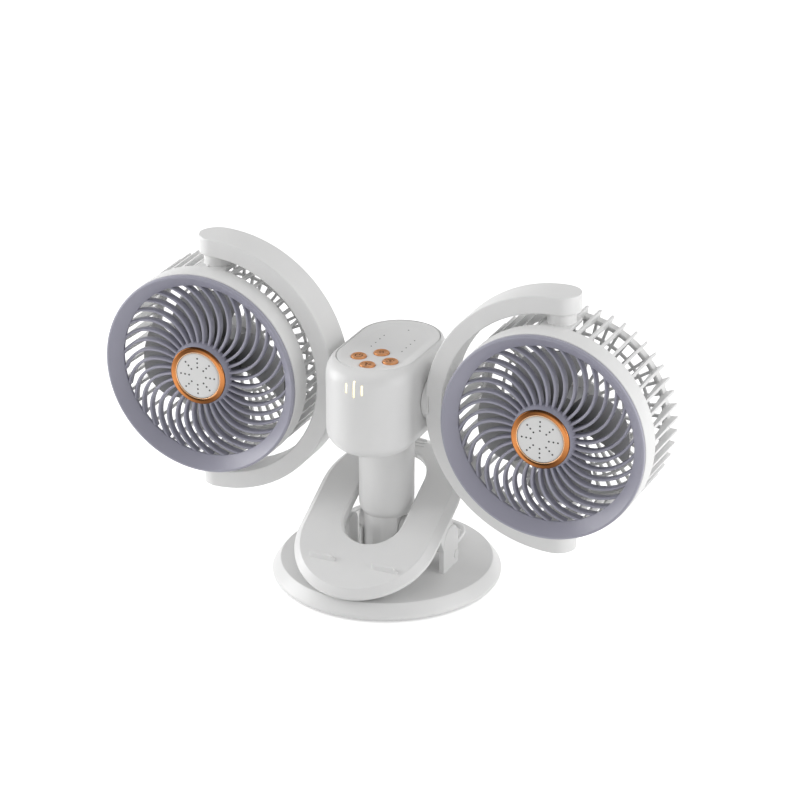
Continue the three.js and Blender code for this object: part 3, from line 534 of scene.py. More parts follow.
def buildCurledRibs():
    # ribs that leave a hub radially and curl as they run out to a rim
    tree, given, out = buildTree("curled ribs", {
        "Count": 34, "Hub Radius": 0.02, "Rim Radius": 0.06, "Curl": 0.5, "Hub Height": 0.028,
        "Rim Height": 0.022, "Bow": 0.0015, "Thickness": 0.0017, "Depth": 0.0036, "Edge": 0.0006})
    calc = partial(mathNode, tree)
    steps = 22
    line = addNode(tree, "GeometryNodeMeshLine", {"Count": steps})[0]
    along = calc("DIVIDE", addNode(tree, "GeometryNodeInputIndex")[0], steps - 1.0)
    span = calc("SUBTRACT", given["Rim Radius"], given["Hub Radius"])
    radius = calc("MULTIPLY_ADD", along, span, given["Hub Radius"])
    angle = calc("MULTIPLY", calc("POWER", along, 2.0), given["Curl"])
    drop = calc("SUBTRACT", given["Rim Height"], given["Hub Height"])
    slope = calc("MULTIPLY_ADD", along, drop, given["Hub Height"])
    bulge = calc("SINE", calc("MULTIPLY", along, math.pi))
    point = addNode(tree, "ShaderNodeCombineXYZ", {
        "X": calc("MULTIPLY", radius, calc("COSINE", angle)),
        "Y": calc("MULTIPLY", radius, calc("SINE", angle)),
        "Z": calc("MULTIPLY_ADD", bulge, given["Bow"], slope)})[0]
    bend = addNode(tree, "GeometryNodeSetPosition", {"Geometry": line, "Position": point})[0]
    curve = addNode(tree, "GeometryNodeMeshToCurve", {0: bend})[0]
    upright = addNode(tree, "GeometryNodeSetCurveNormal", {0: curve}, mode="Z_UP")[0]
    section = addNode(tree, "GeometryNodeCurvePrimitiveQuadrilateral", {
        "Width": given["Thickness"], "Height": given["Depth"]})[0]
    fillet = addNode(tree, "GeometryNodeFilletCurve", {0: section, "Count": 3, "Radius": given["Edge"]},
                     mode="POLY")[0]
    rib = addNode(tree, "GeometryNodeCurveToMesh", {
        "Curve": upright, "Profile Curve": fillet, "Fill Caps": True})[0]
    return spreadAround(tree, given, out, rib, 0.0)


ringPattern = buildRingPattern()
curledRibs = buildCurledRibs()


def repeated(name, tree, values, material, turn=(0, 0, 0)):
    # runs a tree and keeps its result as a plain mesh
    carrier = bpy.data.objects.new(name, bpy.data.meshes.new(name))
    bpy.context.scene.collection.objects.link(carrier)
    modifier = carrier.modifiers.new(name, "NODES")
    modifier.node_group = tree
    sockets = {item.name: item.identifier for item in tree.interface.items_tree
               if item.item_type == "SOCKET" and item.in_out == "INPUT"}
    for label, value in {**values, "Turn": turn, "Material": material}.items():
        modifier[sockets[label]] = value
    data = evaluated(carrier)
    bpy.data.objects.remove(carrier)
    data.name = name
    return placed(name, data, 35)


def aroundAxis(name, unit, count, material, first=0.0, turn=(0, 0, 0)):
    # the unit shape repeated round an axis; the unit itself is used up
    piece = repeated(name, ringPattern, {"Unit": unit, "Count": count, "First Angle": first}, material, turn)
    bpy.data.objects.remove(unit)
    return piece


print("trees made")


# ---- base, all sizes in millimetres

base = dict(
    radius=75, height=12.2, edgeHeight=5, rimWidth=5.5, ceiling=9.7, innerRadius=72.3, foot=1.2, edgeCut=2,
    edgeRise=2.2, postRadius=18.1, cheekRadius=8.4, tiltHeight=35, slotHalf=12, slotFloor=16.4, pinBore=4.3,
    hingeY=1, hingeZ=30.3, earRadius=11.5, earFrom=41.8, earTo=45.5, innerEarRadius=7, innerEarFrom=24.5,
    innerEarTo=27.5, loopY=9, loopZ=18.5, bossRadius=3.2, bossHalf=0.5, pinBoreHalf=16.5, cheekHalf=19,
)
footPad = dict(top=1.6, groove=0.5, ringsFrom=12, ringsTo=68, ringPitch=8, ringWidth=5, outer=70.6)


def makeBase():
    radius, height, top = base["radius"], base["height"], base["radius"] - base["rimWidth"]
    dish = turnedPiece("base_dish", [
        (0, base["ceiling"]), (top - 2, base["ceiling"], 1), (base["innerRadius"], base["edgeHeight"] - 1, 1),
        (base["innerRadius"], base["foot"], 0.2), (radius - base["edgeCut"], base["foot"], 0.3),
        (radius, base["foot"] + base["edgeRise"], 1.2), (radius, base["edgeHeight"], 1.4), (top, height, 1.2),
        (0, height)], whitePlastic, 192)

    axis, cheek, half = base["tiltHeight"], base["cheekRadius"], base["slotHalf"]
    reach, bore = base["cheekHalf"], base["pinBoreHalf"]
    clear = reach + 1
    post = toolBar(base["postRadius"], height - 1, axis + cheek, onZ, segments=128)
    block = toolBlock((-reach, -reach, height - 2), (reach, reach, axis))
    roundTop = carve(toolBar(cheek, -reach, reach, onX, 0, axis, 128), [block], "UNION")
    carve(post, [roundTop], "INTERSECT")
    carve(post, [toolBlock((-half, -clear, base["slotFloor"]), (half, clear, axis + clear)),
                 toolBar(base["pinBore"], -bore, bore, onX, 0, axis)])
    softEdges(post, 0.5)

    pieces = [dish, post]
    bossFrom, bossTo = base["earTo"] - base["bossHalf"], base["earTo"] + base["bossHalf"]
    for side in (-1, 1):
        for part, edge in (("ear", 0.7), ("innerEar", 0.5)):
            outline = arch(base["hingeY"], base["hingeZ"], base[part + "Radius"], height - 0.5)
            low, high = sorted((side * base[part + "From"], side * base[part + "To"]))
            pieces.append(slabPiece(part, outline, low, high, edge, onX, whitePlastic))
        pieces.append(turnedPiece("loop_boss", [
            (0, bossTo), (base["bossRadius"], bossTo, 0.3), (base["bossRadius"], bossFrom), (0, bossFrom),
        ], whitePlastic, 32, sideways(side, base["loopY"], base["loopZ"])))
    shell = joined("base_shell_skin", pieces, whitePlastic)
    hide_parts("base_shell")
    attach(shell, "base")

    # the rubber sheet under the base, with shallow rings that grip the table
    groove, outer = footPad["groove"], footPad["outer"]
    profile = [(0, groove), (8, groove)]
    for r in range(footPad["ringsFrom"], footPad["ringsTo"], footPad["ringPitch"]):
        end = r + footPad["ringWidth"] + 0.5
        profile += [(r, groove), (r + 0.5, 0), (end, 0), (end + 0.5, groove)]
    profile += [(outer - 0.2, groove), (outer, footPad["top"]), (0, footPad["top"])]
    pad = turnedPiece("base_pad_skin", profile, footRubber, 128)
    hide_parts("base_foot_pad")
    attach(pad, "base")


makeBase()
print("base made")


# ---- clip plate, drawn on its own slope: x, along the slope, height over its upper face

plate = dict(
    radius=48, centres=38.5, thickness=7, chamfer=4.6, chamferDepth=4.4, holeHalf=20.2, holeFrom=-6.5,
    holeTo=72, holeFlare=1.2, anchorY=-32.6, anchorZ=41.5, slope=28, lipX=22, lipWidth=16, lipAlong=-23,
    lipHeight=3.2,
    tailWidth=2.4, tailHeight=1.7, tailShift=-1.2, ridges=3, ridgeFrom=76, ridgePitch=2.6, ridgeHalf=11,
    ridgeEdge=0.6, hingeAlong=24.4, hingeBelow=-25.7, cheekFront=11.5, cheekBack=8, lugRadius=8, lugFrom=36.8,
    lugTo=39.8, sunk=0.6,
)
jaw = dict(inner=32, outer=44, first=-128, sweep=76, blocks=26, blockHalf=1.25, face=-8.9, foot=-8.1,
           top=-7.3)
onPlate = sloped(0, plate["anchorY"], plate["anchorZ"], plate["slope"])


def ramp(back, front, topHalf, lean, height, edge):
    # the section of a low raised bar whose sides lean in towards its top
    def outlineAt(inset):
        top = topHalf - inset * lean
        return rounded([(back + inset, -plate["sunk"]), (front - inset, -plate["sunk"]),
                        (top, height - inset, edge), (-top, height - inset, edge)])
    return outlineAt


def cheekOutline(inset):
    # follows the round top of the ear below it
    along, below, foot = plate["hingeAlong"], plate["hingeBelow"], plate["sunk"] - plate["thickness"]
    left, right = along - plate["cheekFront"] + inset, along + plate["cheekBack"] - inset
    reach = base["earRadius"] + 0.5 + inset
    ends = (right - along, left - along)
    first, last = (math.atan2(math.sqrt(max(reach ** 2 - u ** 2, 0.1)), u) for u in ends)
    return [(right, foot)] + arc(along, below, reach, first, last, 20) + [(left, foot)]


def makePlate():
    low, holeHalf, far = -plate["thickness"], plate["holeHalf"], 10
    outside = rounded([(far, low), (0, low, 0.8), (0, -plate["chamferDepth"], 0.9),
                       (plate["chamfer"], 0, 0.9), (far, 0)], False)
    hole = rounded([(4, 0), (plate["holeFlare"], 0, 0.9), (0, -1.6, 0.9), (0, low, 0.6), (4, low)], False)
    rings = [[(x, s, h) for x, s in racetrack(plate["radius"] - inset, 0, plate["centres"], 48)]
             for inset, h in outside]
    holeLow, holeHigh = plate["holeFrom"] + holeHalf, plate["holeTo"] - holeHalf
    rings += [[(x, s, h) for x, s in racetrack(holeHalf + out, holeLow, holeHigh, 48)] for out, h in hole]
    pieces = [evenNormals(loftPiece("plate", rings, whitePlastic, closed=True))]

    lip = ramp(-2.6, 1.7, 0.75, 0.6, plate["lipHeight"], 0.5)
    tail = ramp(-1.4, 1.4, 0.3, 0.3, plate["tailHeight"], 0.3)
    lipAlong, tailAlong = plate["lipAlong"], plate["lipAlong"] + plate["tailShift"]
    for side in (-1, 1):
        lipFrom = side * plate["lipX"] - plate["lipWidth"] / 2
        lipTo = lipFrom + plate["lipWidth"]
        pieces.append(slabPiece("lip", lip, lipFrom, lipTo, 1.0,
                                lambda u, v, h: (h, lipAlong + u, v), whitePlastic))
        pieces.append(slabPiece("lip_tail", tail, lipTo - 2, lipTo + plate["tailWidth"], 0.5,
                                lambda u, v, h: (h, tailAlong + u, v), whitePlastic))
    half, edge = plate["ridgeHalf"], plate["ridgeEdge"]
    for i in range(plate["ridges"]):
        along = plate["ridgeFrom"] + edge + plate["ridgePitch"] * i
        pieces.append(slabPiece("ridge", rectangle(-half, half, along - edge, along + edge, edge),
                                -1, 0.6, 0.35, onZ, whitePlastic))

    lugFoot = plate["thickness"] - plate["sunk"]
    lug = arch(plate["hingeAlong"], -plate["hingeBelow"], plate["lugRadius"], lugFoot)
    for side in (-1, 1):
        earFrom, earTo = sorted((side * base["earFrom"], side * base["earTo"]))
        lugFrom, lugTo = sorted((side * plate["lugFrom"], side * plate["lugTo"]))
        pieces.append(slabPiece("cheek", cheekOutline, earFrom, earTo, 0.4, onX, whitePlastic))
        pieces.append(slabPiece("lug", lug, lugFrom, lugTo, 0.5, lambda u, v, h: (h, u, -v), whitePlastic))
    skin = moved(joined("clip_plate_skin", pieces, whitePlastic), onPlate)
    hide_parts("clip_plate")
    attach(skin, "clip")


def makeJawPad():
    # the grip strip under the lower end, cut across by fine grooves
    inner, outer, count = jaw["inner"], jaw["outer"], jaw["blocks"]
    blocks = []
    for k in range(count):
        def blockOutline(inset, middle=math.radians(jaw["first"] + jaw["sweep"] * (k + 0.5) / count)):
            half = math.radians(jaw["blockHalf"]) - inset / 40
            corners = [(inner + inset, middle - half), (outer - inset, middle - half),
                       (outer - inset, middle + half), (inner + inset, middle + half)]
            return [(r * math.cos(a), r * math.sin(a)) for r, a in corners]
        blocks.append(slabPiece("block", blockOutline, jaw["face"], jaw["foot"], 0.2, onZ, footRubber, 2))
    sheet = arcBand(inner, outer, jaw["first"], jaw["first"] + jaw["sweep"])
    blocks.append(flatPiece("sheet", sheet, jaw["foot"] - 0.1, jaw["top"], footRubber))
    pad = moved(joined("jaw_pad_skin", blocks, footRubber), onPlate)
    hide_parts("jaw_pad")
    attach(pad, "clip")


makePlate()
makeJawPad()
print("clip plate made")


# ---- hanging loop, springs and pins

loop = dict(half=41.5, reach=33, corner=11, bar=3, edge=0.9, rise=8, pinRadius=1.3, pinTo=44.1)
spring = dict(start=28.45, pitch=1.75, turns=4, radius=4.6, wire=1.3, foot=12.5, steps=40, legSteps=6)


def tubeAlong(name, points, radius, material):
    # a round wire along points, its section carried without twist
    points = [Vector(p) for p in points]
    rings = []
    side = None
    for i, point in enumerate(points):
        ahead = (points[min(i + 1, len(points) - 1)] - points[max(i - 1, 0)]).normalized()
        across = ahead.orthogonal() if side is None else side - ahead * side.dot(ahead)
        side = across.normalized()
        other = ahead.cross(side)
        rings.append([point + side * a + other * b for a, b in circle(radius, 14)])
    return loftPiece(name, rings, material, False, 60)


def makeLoop():
    bar = loop["bar"]
    half, reach, corner = loop["half"] - bar / 2, loop["reach"] - bar / 2, loop["corner"] - bar / 2
    path = rounded([(-half, -bar), (-half, reach, corner), (half, reach, corner), (half, -bar)], False, 14)
    outline = rectangle(-bar / 2, bar / 2, -bar / 2, bar / 2, loop["edge"])(0)
    rings = []
    for i, point in enumerate(path):
        ahead = (Vector(path[min(i + 1, len(path) - 1)]) - Vector(path[max(i - 1, 0)])).normalized()
        rings.append([(point[0] - ahead.y * a, point[1] + ahead.x * a, b) for a, b in outline])
    bow = loftPiece("bow", rings, whitePlastic)
    pieces = [moved(bow, sloped(0, base["loopY"], base["loopZ"], loop["rise"]))]
    pin = [(0, half), (loop["pinRadius"], half), (loop["pinRadius"], loop["pinTo"]), (0, loop["pinTo"])]
    for side in (-1, 1):
        place = sideways(side, base["loopY"], base["loopZ"])
        pieces.append(turnedPiece("loop_pin", pin, whitePlastic, 24, place))
    skin = joined("hanging_loop_skin", pieces, whitePlastic)
    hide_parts("hanging_loop")
    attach(skin, "loop")


def makeSpring(name, side):
    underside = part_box(name)[1].z / mm
    y, z, radius = base["hingeY"], base["hingeZ"], spring["radius"]
    steps, legSteps = spring["steps"], spring["legSteps"]
    start = side * spring["start"]
    end = start + side * spring["pitch"] * spring["turns"]
    coil = []
    for k in range(spring["turns"] * steps + 1):
        angle = fullTurn * k / steps
        coil.append((start + side * spring["pitch"] * k / steps,
                     y + radius * math.cos(angle), z + radius * math.sin(angle)))
    foot, rise = spring["foot"], z - spring["foot"]
    legDown = [(start, y + radius, foot + rise * k / legSteps) for k in range(legSteps)]
    legUp = [(end, y + radius, z + (underside - z) * k / legSteps) for k in range(1, legSteps + 1)]
    wire = tubeAlong(name + "_wire", legDown + coil, spring["wire"] / 2, plainSteel)
    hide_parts(name)
    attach(wire, "base")
    # the upper leg turns with the clip and slides round inside the last of the coil
    leg = tubeAlong(name + "_leg", coil[-7:] + legUp, spring["wire"] / 2 - 0.02, plainSteel)
    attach(leg, "clip")


def makePin(node, body):
    # a turned pin with chamfered ends, as long and as thick as the node it stands for
    low, high = (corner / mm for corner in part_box(node))
    size, middle = high - low, (low + high) / 2
    axis = max(range(3), key=lambda i: size[i])
    first, second = (i for i in range(3) if i != axis)
    radius = max(size[first], size[second]) / 2 - 0.04

    def place(u, v, h):
        point = [0, 0, 0]
        point[first], point[second], point[axis] = middle[first] + u, middle[second] + v, h
        return tuple(point)

    profile = [(0, low[axis]), (radius, low[axis], 0.5), (radius, high[axis], 0.5), (0, high[axis])]
    pin = turnedPiece(node + "_turned", profile, plainSteel, 32, place, steps=3)
    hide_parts(node)
    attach(pin, body)


makeLoop()
makeSpring("left_clip_spring", -1)
makeSpring("right_clip_spring", 1)
for pin in ("left_hinge_pin", "right_hinge_pin", "column_tilt_pin"):
    makePin(pin, "base")
for side in ("left", "right"):
    makePin(side + "_pan_pin_top", side + "_yoke")
    makePin(side + "_pan_pin_bottom", side + "_yoke")
    makePin(side + "_motor_shaft", side + "_impeller")
print("loop, springs and pins made")


# ---- column

column = dict(
    radius=18.1, foot=44, round=7.5, waist=15.6, tongueHalf=11.7, tongueRadius=17.9, tongueDepth=18.05,
    tongueRise=19, top=99.2, spigotRadius=11, spigotTop=112.7, bore=8, boreRise=24, pinBoreHalf=13,
)


def makeColumn():
    axis, radius, spigot, bore = base["tiltHeight"], column["radius"], column["spigotRadius"], column["bore"]
    tube = turnedPiece("tube", [
        (0, column["foot"]), (radius, column["foot"], column["round"]), (radius, column["top"], 0.8),
        (spigot, column["top"]), (spigot, column["spigotTop"], 0.6), (bore, column["spigotTop"], 0.4),
        (bore, axis + column["boreRise"]), (0, axis + column["boreRise"])], whitePlastic, 128)
    half, deep = column["tongueHalf"], column["tongueDepth"]
    tongue = toolBar(column["tongueRadius"], -half, half, onX, 0, axis, 128)
    carve(tongue, [toolBlock((-half, -deep, axis), (half, deep, axis + column["tongueRise"]))], "UNION")
    carve(tongue, [toolBar(column["waist"], 0, 60, onZ, segments=128)], "INTERSECT")
    carve(tongue, [toolBar(base["pinBore"], -column["pinBoreHalf"], column["pinBoreHalf"], onX, 0, axis)])
    softEdges(tongue, 0.4)
    skin = joined("column_skin", [tube, tongue], whitePlastic)
    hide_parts("column_tube")
    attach(skin, "column")


makeColumn()
print("column made")


# ---- head

head = dict(
    halfWidth=30, centre=20.4, bottom=99.5, lipFront=6.3, footRadius=14, yokeZ=130.8, yokeHole=8.1,
    swivelHole=11.5, topFrom=150.5, topRise=9.5, lightX=5.35, lightShift=0.45,
    lightWidth=1.05, lightZ=149.8, lightGap=0.3, lightHeights=(6.6, 11, 6.8), lightFace=-49.75,
    lightFoot=-45.5, lightPlate=(-8, 8, 143.5, 151.5), lightPlateFrom=-46.2, lightPlateTo=-44.4,
    panelFace=158.4,
    panelEdge=4.15, panelRim=159.85, panelUnder=156.2, panelFall=8.2, micHole=0.9, micX=14.2, micZ=108.5,
)
# rings of the head as (inset, height): round its top edge, the panel's ledge and the wall inside
shoulder = [(0, 149), (0.06, 151), (0.2, 153), (0.5, 155), (0.85, 156.6), (1.3, 157.8), (1.8, 158.8),
            (2.3, 159.4), (2.8, 159.75), (3.3, 159.95)]
ledge = [(3.55, 159.95), (3.62, 159.6), (3.7, 157.9), (6.1, 157.9), (6.1, 155.5)]
innerWall = [(2.6, 150), (2.5, 118), (5.9, 108), (14, 104.5)]
# each mouth of the socket as (half width, half height, front, back)
socket = dict(z=118, hole=(4.8, 1.9, 44, 54), sleeve=(4.5, 1.6, 41.7, 49.7), opening=(4.0, 1.1, 43.6, 52),
              tongueHalf=3, tongueThick=0.35, tongueFrom=43, tongueTo=48.9)
buttons = dict(
    radius=4.95, gap=0.22, top=159.4, flange=0.9, flangeTop=155.9, foot=151.5, centreY=-0.0182,
    places={"button_left": (-11, -18.2), "button_front": (0, -28.9), "button_back": (0, -7.5),
            "button_right": (11, -18.2)},
)
spots = dict(radius=0.5, x=10.75, along=(0, 6.6, 13.2, 19.6), last=(0, 33.8))
copperTop = metalMaterial("button copper", "button copper", (0, buttons["centreY"], 0), (1, 1, 0), 0.7)


def headRing(inset, z, back=0):
    # back moves the front half circle towards the rear
    centre = head["centre"]
    return [(x, y, z) for x, y in racetrack(head["halfWidth"] - inset, back - centre, centre, 40)]


def shoulderRing(inset, z):
    # the front of the top is rounded far more than its sides
    drop = max(z - head["topFrom"], 0) / head["topRise"]
    back = (head["lipFront"] + head["panelEdge"]) * (1 - math.sqrt(max(1 - drop * drop, 0)))
    return headRing(inset, z, max(back - inset, 0))


def lightWindows(grow, front, back, curve, name, material):
    # upright bars with round ends, pushed from the head's front inwards
    bars = []
    for i, height in enumerate(head["lightHeights"]):
        half = (head["lightWidth"] + grow) / 2
        x = (i - 1) * head["lightX"] + head["lightShift"]

        def outlineAt(inset, straight=(height + grow) / 2 - half, x=x):
            z, r = head["lightZ"], half - inset
            return arc(x, z + straight, r, 0, math.pi, 10) + arc(x, z - straight, r, math.pi, fullTurn, 10)
        bars.append(slabPiece(name, outlineAt, front + curve * abs(i - 1), back, 0.25, onY, material))
    return bars


def socketMouth(part, name, material):
    halfWidth, halfHeight, front, back = socket[part]

    def outlineAt(inset):
        middle, wide = socket["z"], halfWidth - inset
        low, high = middle - halfHeight + inset, middle + halfHeight - inset
        corners = [(-wide, low), (wide, low), (wide, high), (-wide, high)]
        return rounded([(u, v, halfHeight) for u, v in corners], steps=8)
    return slabPiece(name, outlineAt, front, back, 0.1, onY, material)


def makeHead():
    foot, lip = head["footRadius"], head["lipFront"]
    outside = [headRing(foot * (1 - math.sin(a)), head["bottom"] + foot * (1 - math.cos(a)))
               for a in angles(0, math.pi / 2, 14)]
    outside += [shoulderRing(inset, z) for inset, z in shoulder]
    inside = [headRing(inset, z, lip) for inset, z in ledge] + [headRing(inset, z) for inset, z in innerWall]
    shell = evenNormals(loftPiece("head_shell_skin", outside + inside, whitePlastic))
    settle(shell)
    front = -head["centre"] - head["halfWidth"] - 2
    cuts = [toolBar(head["swivelHole"], 98, 106, onZ, segments=96),
            toolBar(head["yokeHole"], -32, 32, onX, 0, head["yokeZ"], 64)]
    cuts += lightWindows(head["lightGap"], front, front + 8, 0, "tool", blankTool)
    cuts.append(socketMouth("hole", "tool", blankTool))
    cuts.append(toolBar(head["micHole"], front, front + 6, onY, head["micX"], head["micZ"], 24))
    carve(shell, cuts)
    paint(shell, whitePlastic)
    shell.data.set_sharp_from_angle(angle=math.radians(32))
    evenNormals(shell)
    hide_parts("head_shell")
    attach(shell, "head")

    bars = lightWindows(0, head["lightFace"], head["lightFoot"], 0.12, "light_bar", litDiffuser)
    bars.append(slabPiece("light_back", rectangle(*head["lightPlate"]), head["lightPlateFrom"],
                          head["lightPlateTo"], 0.3, onY, litDiffuser))
    light = joined("light_bars", bars)
    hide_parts("light_guide")
    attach(light, "head")

    sleeve = socketMouth("sleeve", "socket_sleeve", plainSteel)
    carve(sleeve, [socketMouth("opening", "tool", blankTool)])
    middle, half, thick = socket["z"], socket["tongueHalf"], socket["tongueThick"]
    tongue = slabPiece("socket_tongue", rectangle(-half, half, middle - thick, middle + thick, 0.2),
                       socket["tongueFrom"], socket["tongueTo"], 0.15, onY, footRubber)
    metal = joined("charge_socket_sleeve", [sleeve, tongue])
    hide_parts("charge_socket")
    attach(metal, "head")


def makePanel():
    # a softly dished top with a fine seam all round
    face, edge, rim, lip = head["panelFace"], head["panelEdge"], head["panelRim"], head["lipFront"]
    outline = [(6.4, head["panelUnder"]), (6.4, face - 0.2), (edge, face - 0.2), (edge, rim - 0.3),
               (edge + 0.12, rim - 0.1), (edge + 0.4, rim)]
    for t in angles(0, 1, 12)[1:]:
        fall = 0.5 - 0.5 * math.cos(math.pi * t)
        outline.append((edge + 0.4 + head["panelFall"] * t, rim + (face - rim) * fall))
    outline += [(edge + 0.4 + head["panelFall"] + 2.4 * k, face) for k in range(1, 6)]
    rings = [headRing(inset, z, lip) for inset, z in outline]
    panel = loftPiece("head_top_panel_skin", rings, whitePlastic, sharpAngle=45)
    mouth = buttons["radius"] + buttons["gap"]
    hole = [(0, 150), (mouth, 150), (mouth, face - 0.5), (mouth + 0.06, face - 0.25),
            (mouth + 0.2, face - 0.06), (mouth + 0.4, face + 0.03), (mouth + 0.5, 162), (0, 162)]
    carve(panel, [turnedPiece("tool", hole, blankTool, 64, standing(x, y))
                  for x, y in buttons["places"].values()])
    paint(panel, whitePlastic)
    panel.data.set_sharp_from_angle(angle=math.radians(40))
    evenNormals(panel)
    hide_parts("head_top_panel")
    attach(panel, "head")

    places = [(side * spots["x"], y) for side in (-1, 1) for y in spots["along"]] + [spots["last"]]
    low, high, r = face - 0.3, face + 0.02, spots["radius"]
    marks = joined("panel_spots", [turnedPiece("spot", [(0, low), (r, low), (r, high), (0, high)], dotInk, 16,
                                               standing(x, y)) for x, y in places])
    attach(marks, "head")


def petal(length, width, start):
    return [(start + length / 2 + length / 2 * math.cos(a), width / 2 * math.sin(a) + 0.35 * math.cos(a))
            for a in angles(0, fullTurn, 20)[:-1]]


def markShapes(name, low, high):
    # plain pictures of what each button does: power, fan speed, light, turning
    def flat(outline):
        return flatPiece("mark", outline, low, high, darkCopper)

    if name == "button_left":
        stroke = [(-0.35, 0.6), (0.35, 0.6), (0.35, 3.0), (-0.35, 3.0)]
        return [flat(arcBand(1.9, 2.6, 125, 415)), flat(stroke)]
    if name == "button_front":
        return [aroundAxis("petals", flat(petal(2.5, 1.5, 0.55)), 3, darkCopper, math.radians(20)),
                flat(arcBand(3.2, 3.6, 0, 359.9, 60))]
    if name == "button_back":
        ray = [(2.2, -0.22), (3.3, -0.22), (3.3, 0.22), (2.2, 0.22)]
        return [aroundAxis("rays", flat(ray), 8, darkCopper), flat(arcBand(1.0, 1.6, 0, 359.9, 60))]
    return [flat(arcBand(2.1, 2.7, 20, 160)), flat(arcBand(2.1, 2.7, 200, 340)),
            flat(arcBand(0.01, 0.9, 0, 359.9, 30))]


def makeButton(name, x, y):
    radius, top, flangeTop = buttons["radius"], buttons["top"], buttons["flangeTop"]
    flange = radius + buttons["flange"]
    cap = turnedPiece("cap", [
        (0, buttons["foot"]), (2, buttons["foot"]), (flange, flangeTop - 0.9), (flange, flangeTop),
        (radius, flangeTop), (radius, top, 0.7), (radius - 1.1, top - 0.05, 0.5),
        (radius - 1.5, top - 0.3, 0.6), (0, top - 0.42)], copperTop, 64)
    skin = joined(name + "_skin", [cap] + markShapes(name, top - 0.55, top - 0.33))
    moved(skin, Matrix.Translation((x, y, 0)))
    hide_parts(name)
    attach(skin, name)


makeHead()
makePanel()
for name, (x, y) in buttons["places"].items():
    makeButton(name, x, y)
print("head made")


# ---- yokes and fans, drawn about a fan's centre with the fan blowing towards -Y

fan = dict(x=119.39, z=130.8)
yoke = dict(inner=75.29, outer=87.28, width=25, edge=1.1, bossRadius=14, bossFrom=84.28, bossTo=89.1,
            spigotRadius=7.6, spigotTo=97.4, bendSteps=96, endSteps=14)
housing = dict(
    radius=68.5, inner=66.1, bandFront=-28, bandBack=-12, back=28.5, fins=48, finThickness=1.8, firstFin=2.5,
    rimRadius=63.8, rimWall=2.4, rimInner=58.4, rimDepth=6.4, hubRadius=20, hubFront=26, hubBack=29,
    hubDish=12, rings=(33, 41.4, 49.8), ringHalf=0.9, ringFront=25.8, ringBack=28, spokeFrom=19,
    spokeFront=26.1, spokeBack=28.1, neckRadius=9.3, neckBore=3.3, neckFrom=66, neckWaist=68.6,
    neckTo=74.99, saddleHalf=10.3, saddleBack=10.8, saddleFrom=64.9, saddleTo=67.7,
)
finOutline = [(65.6, -12.6), (68.1, -12.6), (68.35, 28.4), (68.1, 29.2), (66.2, 28.6), (63.3, 28.2), (62, 22),
              (64.4, 4)]
grille = dict(
    radius=68.1, front=-31.4, back=-28.3, throat=59, hubRadius=21.8, hubFront=-31.2, hubDepth=6, ribs=34,
    ribFrom=20.2, ribTo=59.9, curl=30, ribFront=25.2, ribBack=20.8, bow=1.4, thickness=1.85, depth=5.4,
    edge=0.9,
)
trim = dict(radius=19.7, width=4, back=-31.5, height=1.6, lipWidth=0.75, lipHeight=0.85, capRadius=15.4,
            capHeight=1.4, rows=8, dots=(6.1, 9.1, 12.1), dotRadius=0.62, domeRadius=13.3)
# the shade sizes and the darkest value here set the painted shade on the blades and hub, darker towards the
# axis
impeller = dict(hubRadius=17, hubFront=16, wall=2, tip=51, blades=4, lead=16, leadGain=9, spread=35,
                spreadLoss=13.5, middle=8, rise=6.6, riseLoss=2, camber=1.2, edgeHalf=0.25, bodyHalf=0.65,
                across=22, out=18, paintedShadeNear=18, paintedShadeFar=50, paintedShadeDarkest=0.2, ceiling=12, bossRadius=4,
                bossFrom=1, bore=1.8, boreTo=12.4)
towardsFront = (math.pi / 2, 0, 0)


def fanCentre(side):
    return (side * fan["x"] * mm, 0, fan["z"] * mm)


def finishOnFan(piece, side, body, slot, *replaced):
    moved(piece, Matrix.Translation((side * fan["x"], 0, fan["z"])))
    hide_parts(*replaced)
    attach(piece, body)


def makeYoke(name, side):
    # one strip bent round the fan, its two ends rounded like a spoon's handle
    middle, half = (yoke["inner"] + yoke["outer"]) / 2, (yoke["outer"] - yoke["inner"]) / 2
    width, steps = yoke["width"] / 2, yoke["bendSteps"]

    def section(x, z, outX, outZ, w):
        r = min(yoke["edge"], w * 0.9)
        corners = rounded([(-half, -w, r), (half, -w, r), (half, w, r), (-half, w, r)])
        return [(x + outX * a, b, z + outZ * a) for a, b in corners]

    def endRings(z, outZ):
        return [section(side * width * math.sin(a), z, 0, outZ, width * math.cos(a))
                for a in angles(0, math.pi / 2, yoke["endSteps"])[:-1]]

    rings = endRings(middle, 1)[::-1]
    for a in angles(0, math.pi, steps)[1:-1]:
        outX, outZ = -side * math.sin(a), math.cos(a)
        rings.append(section(middle * outX, middle * outZ, outX, outZ, width))
    rings += endRings(-middle, -1)
    strip = evenNormals(loftPiece("strip", rings, whitePlastic))
    wide, narrow, foot, top = yoke["bossRadius"], yoke["spigotRadius"], yoke["bossFrom"], yoke["bossTo"]
    boss = turnedPiece("boss", [
        (0, foot), (wide, foot), (wide, top, 0.4), (narrow, top), (narrow, yoke["spigotTo"], 0.4),
        (0, yoke["spigotTo"])], whitePlastic, 72, sideways(-side))
    finishOnFan(joined(name + "_skin", [strip, boss]), side, name, "white_plastic", name)


def ribSlab(name, points):
    # a thin upright slab along +X in the pattern's own frame, where the fan's -Y is +Z
    half = housing["finThickness"] / 2
    corners = [Vector((r, -y)) for r, y in points]
    middle = sum(corners, Vector((0, 0))) / len(corners)

    def outlineAt(inset):
        return [tuple(middle + (p - middle) * (1 - inset / (p - middle).length)) for p in corners]
    return slabPiece(name, outlineAt, -half, half, 0.35, onY, whitePlastic, 2)


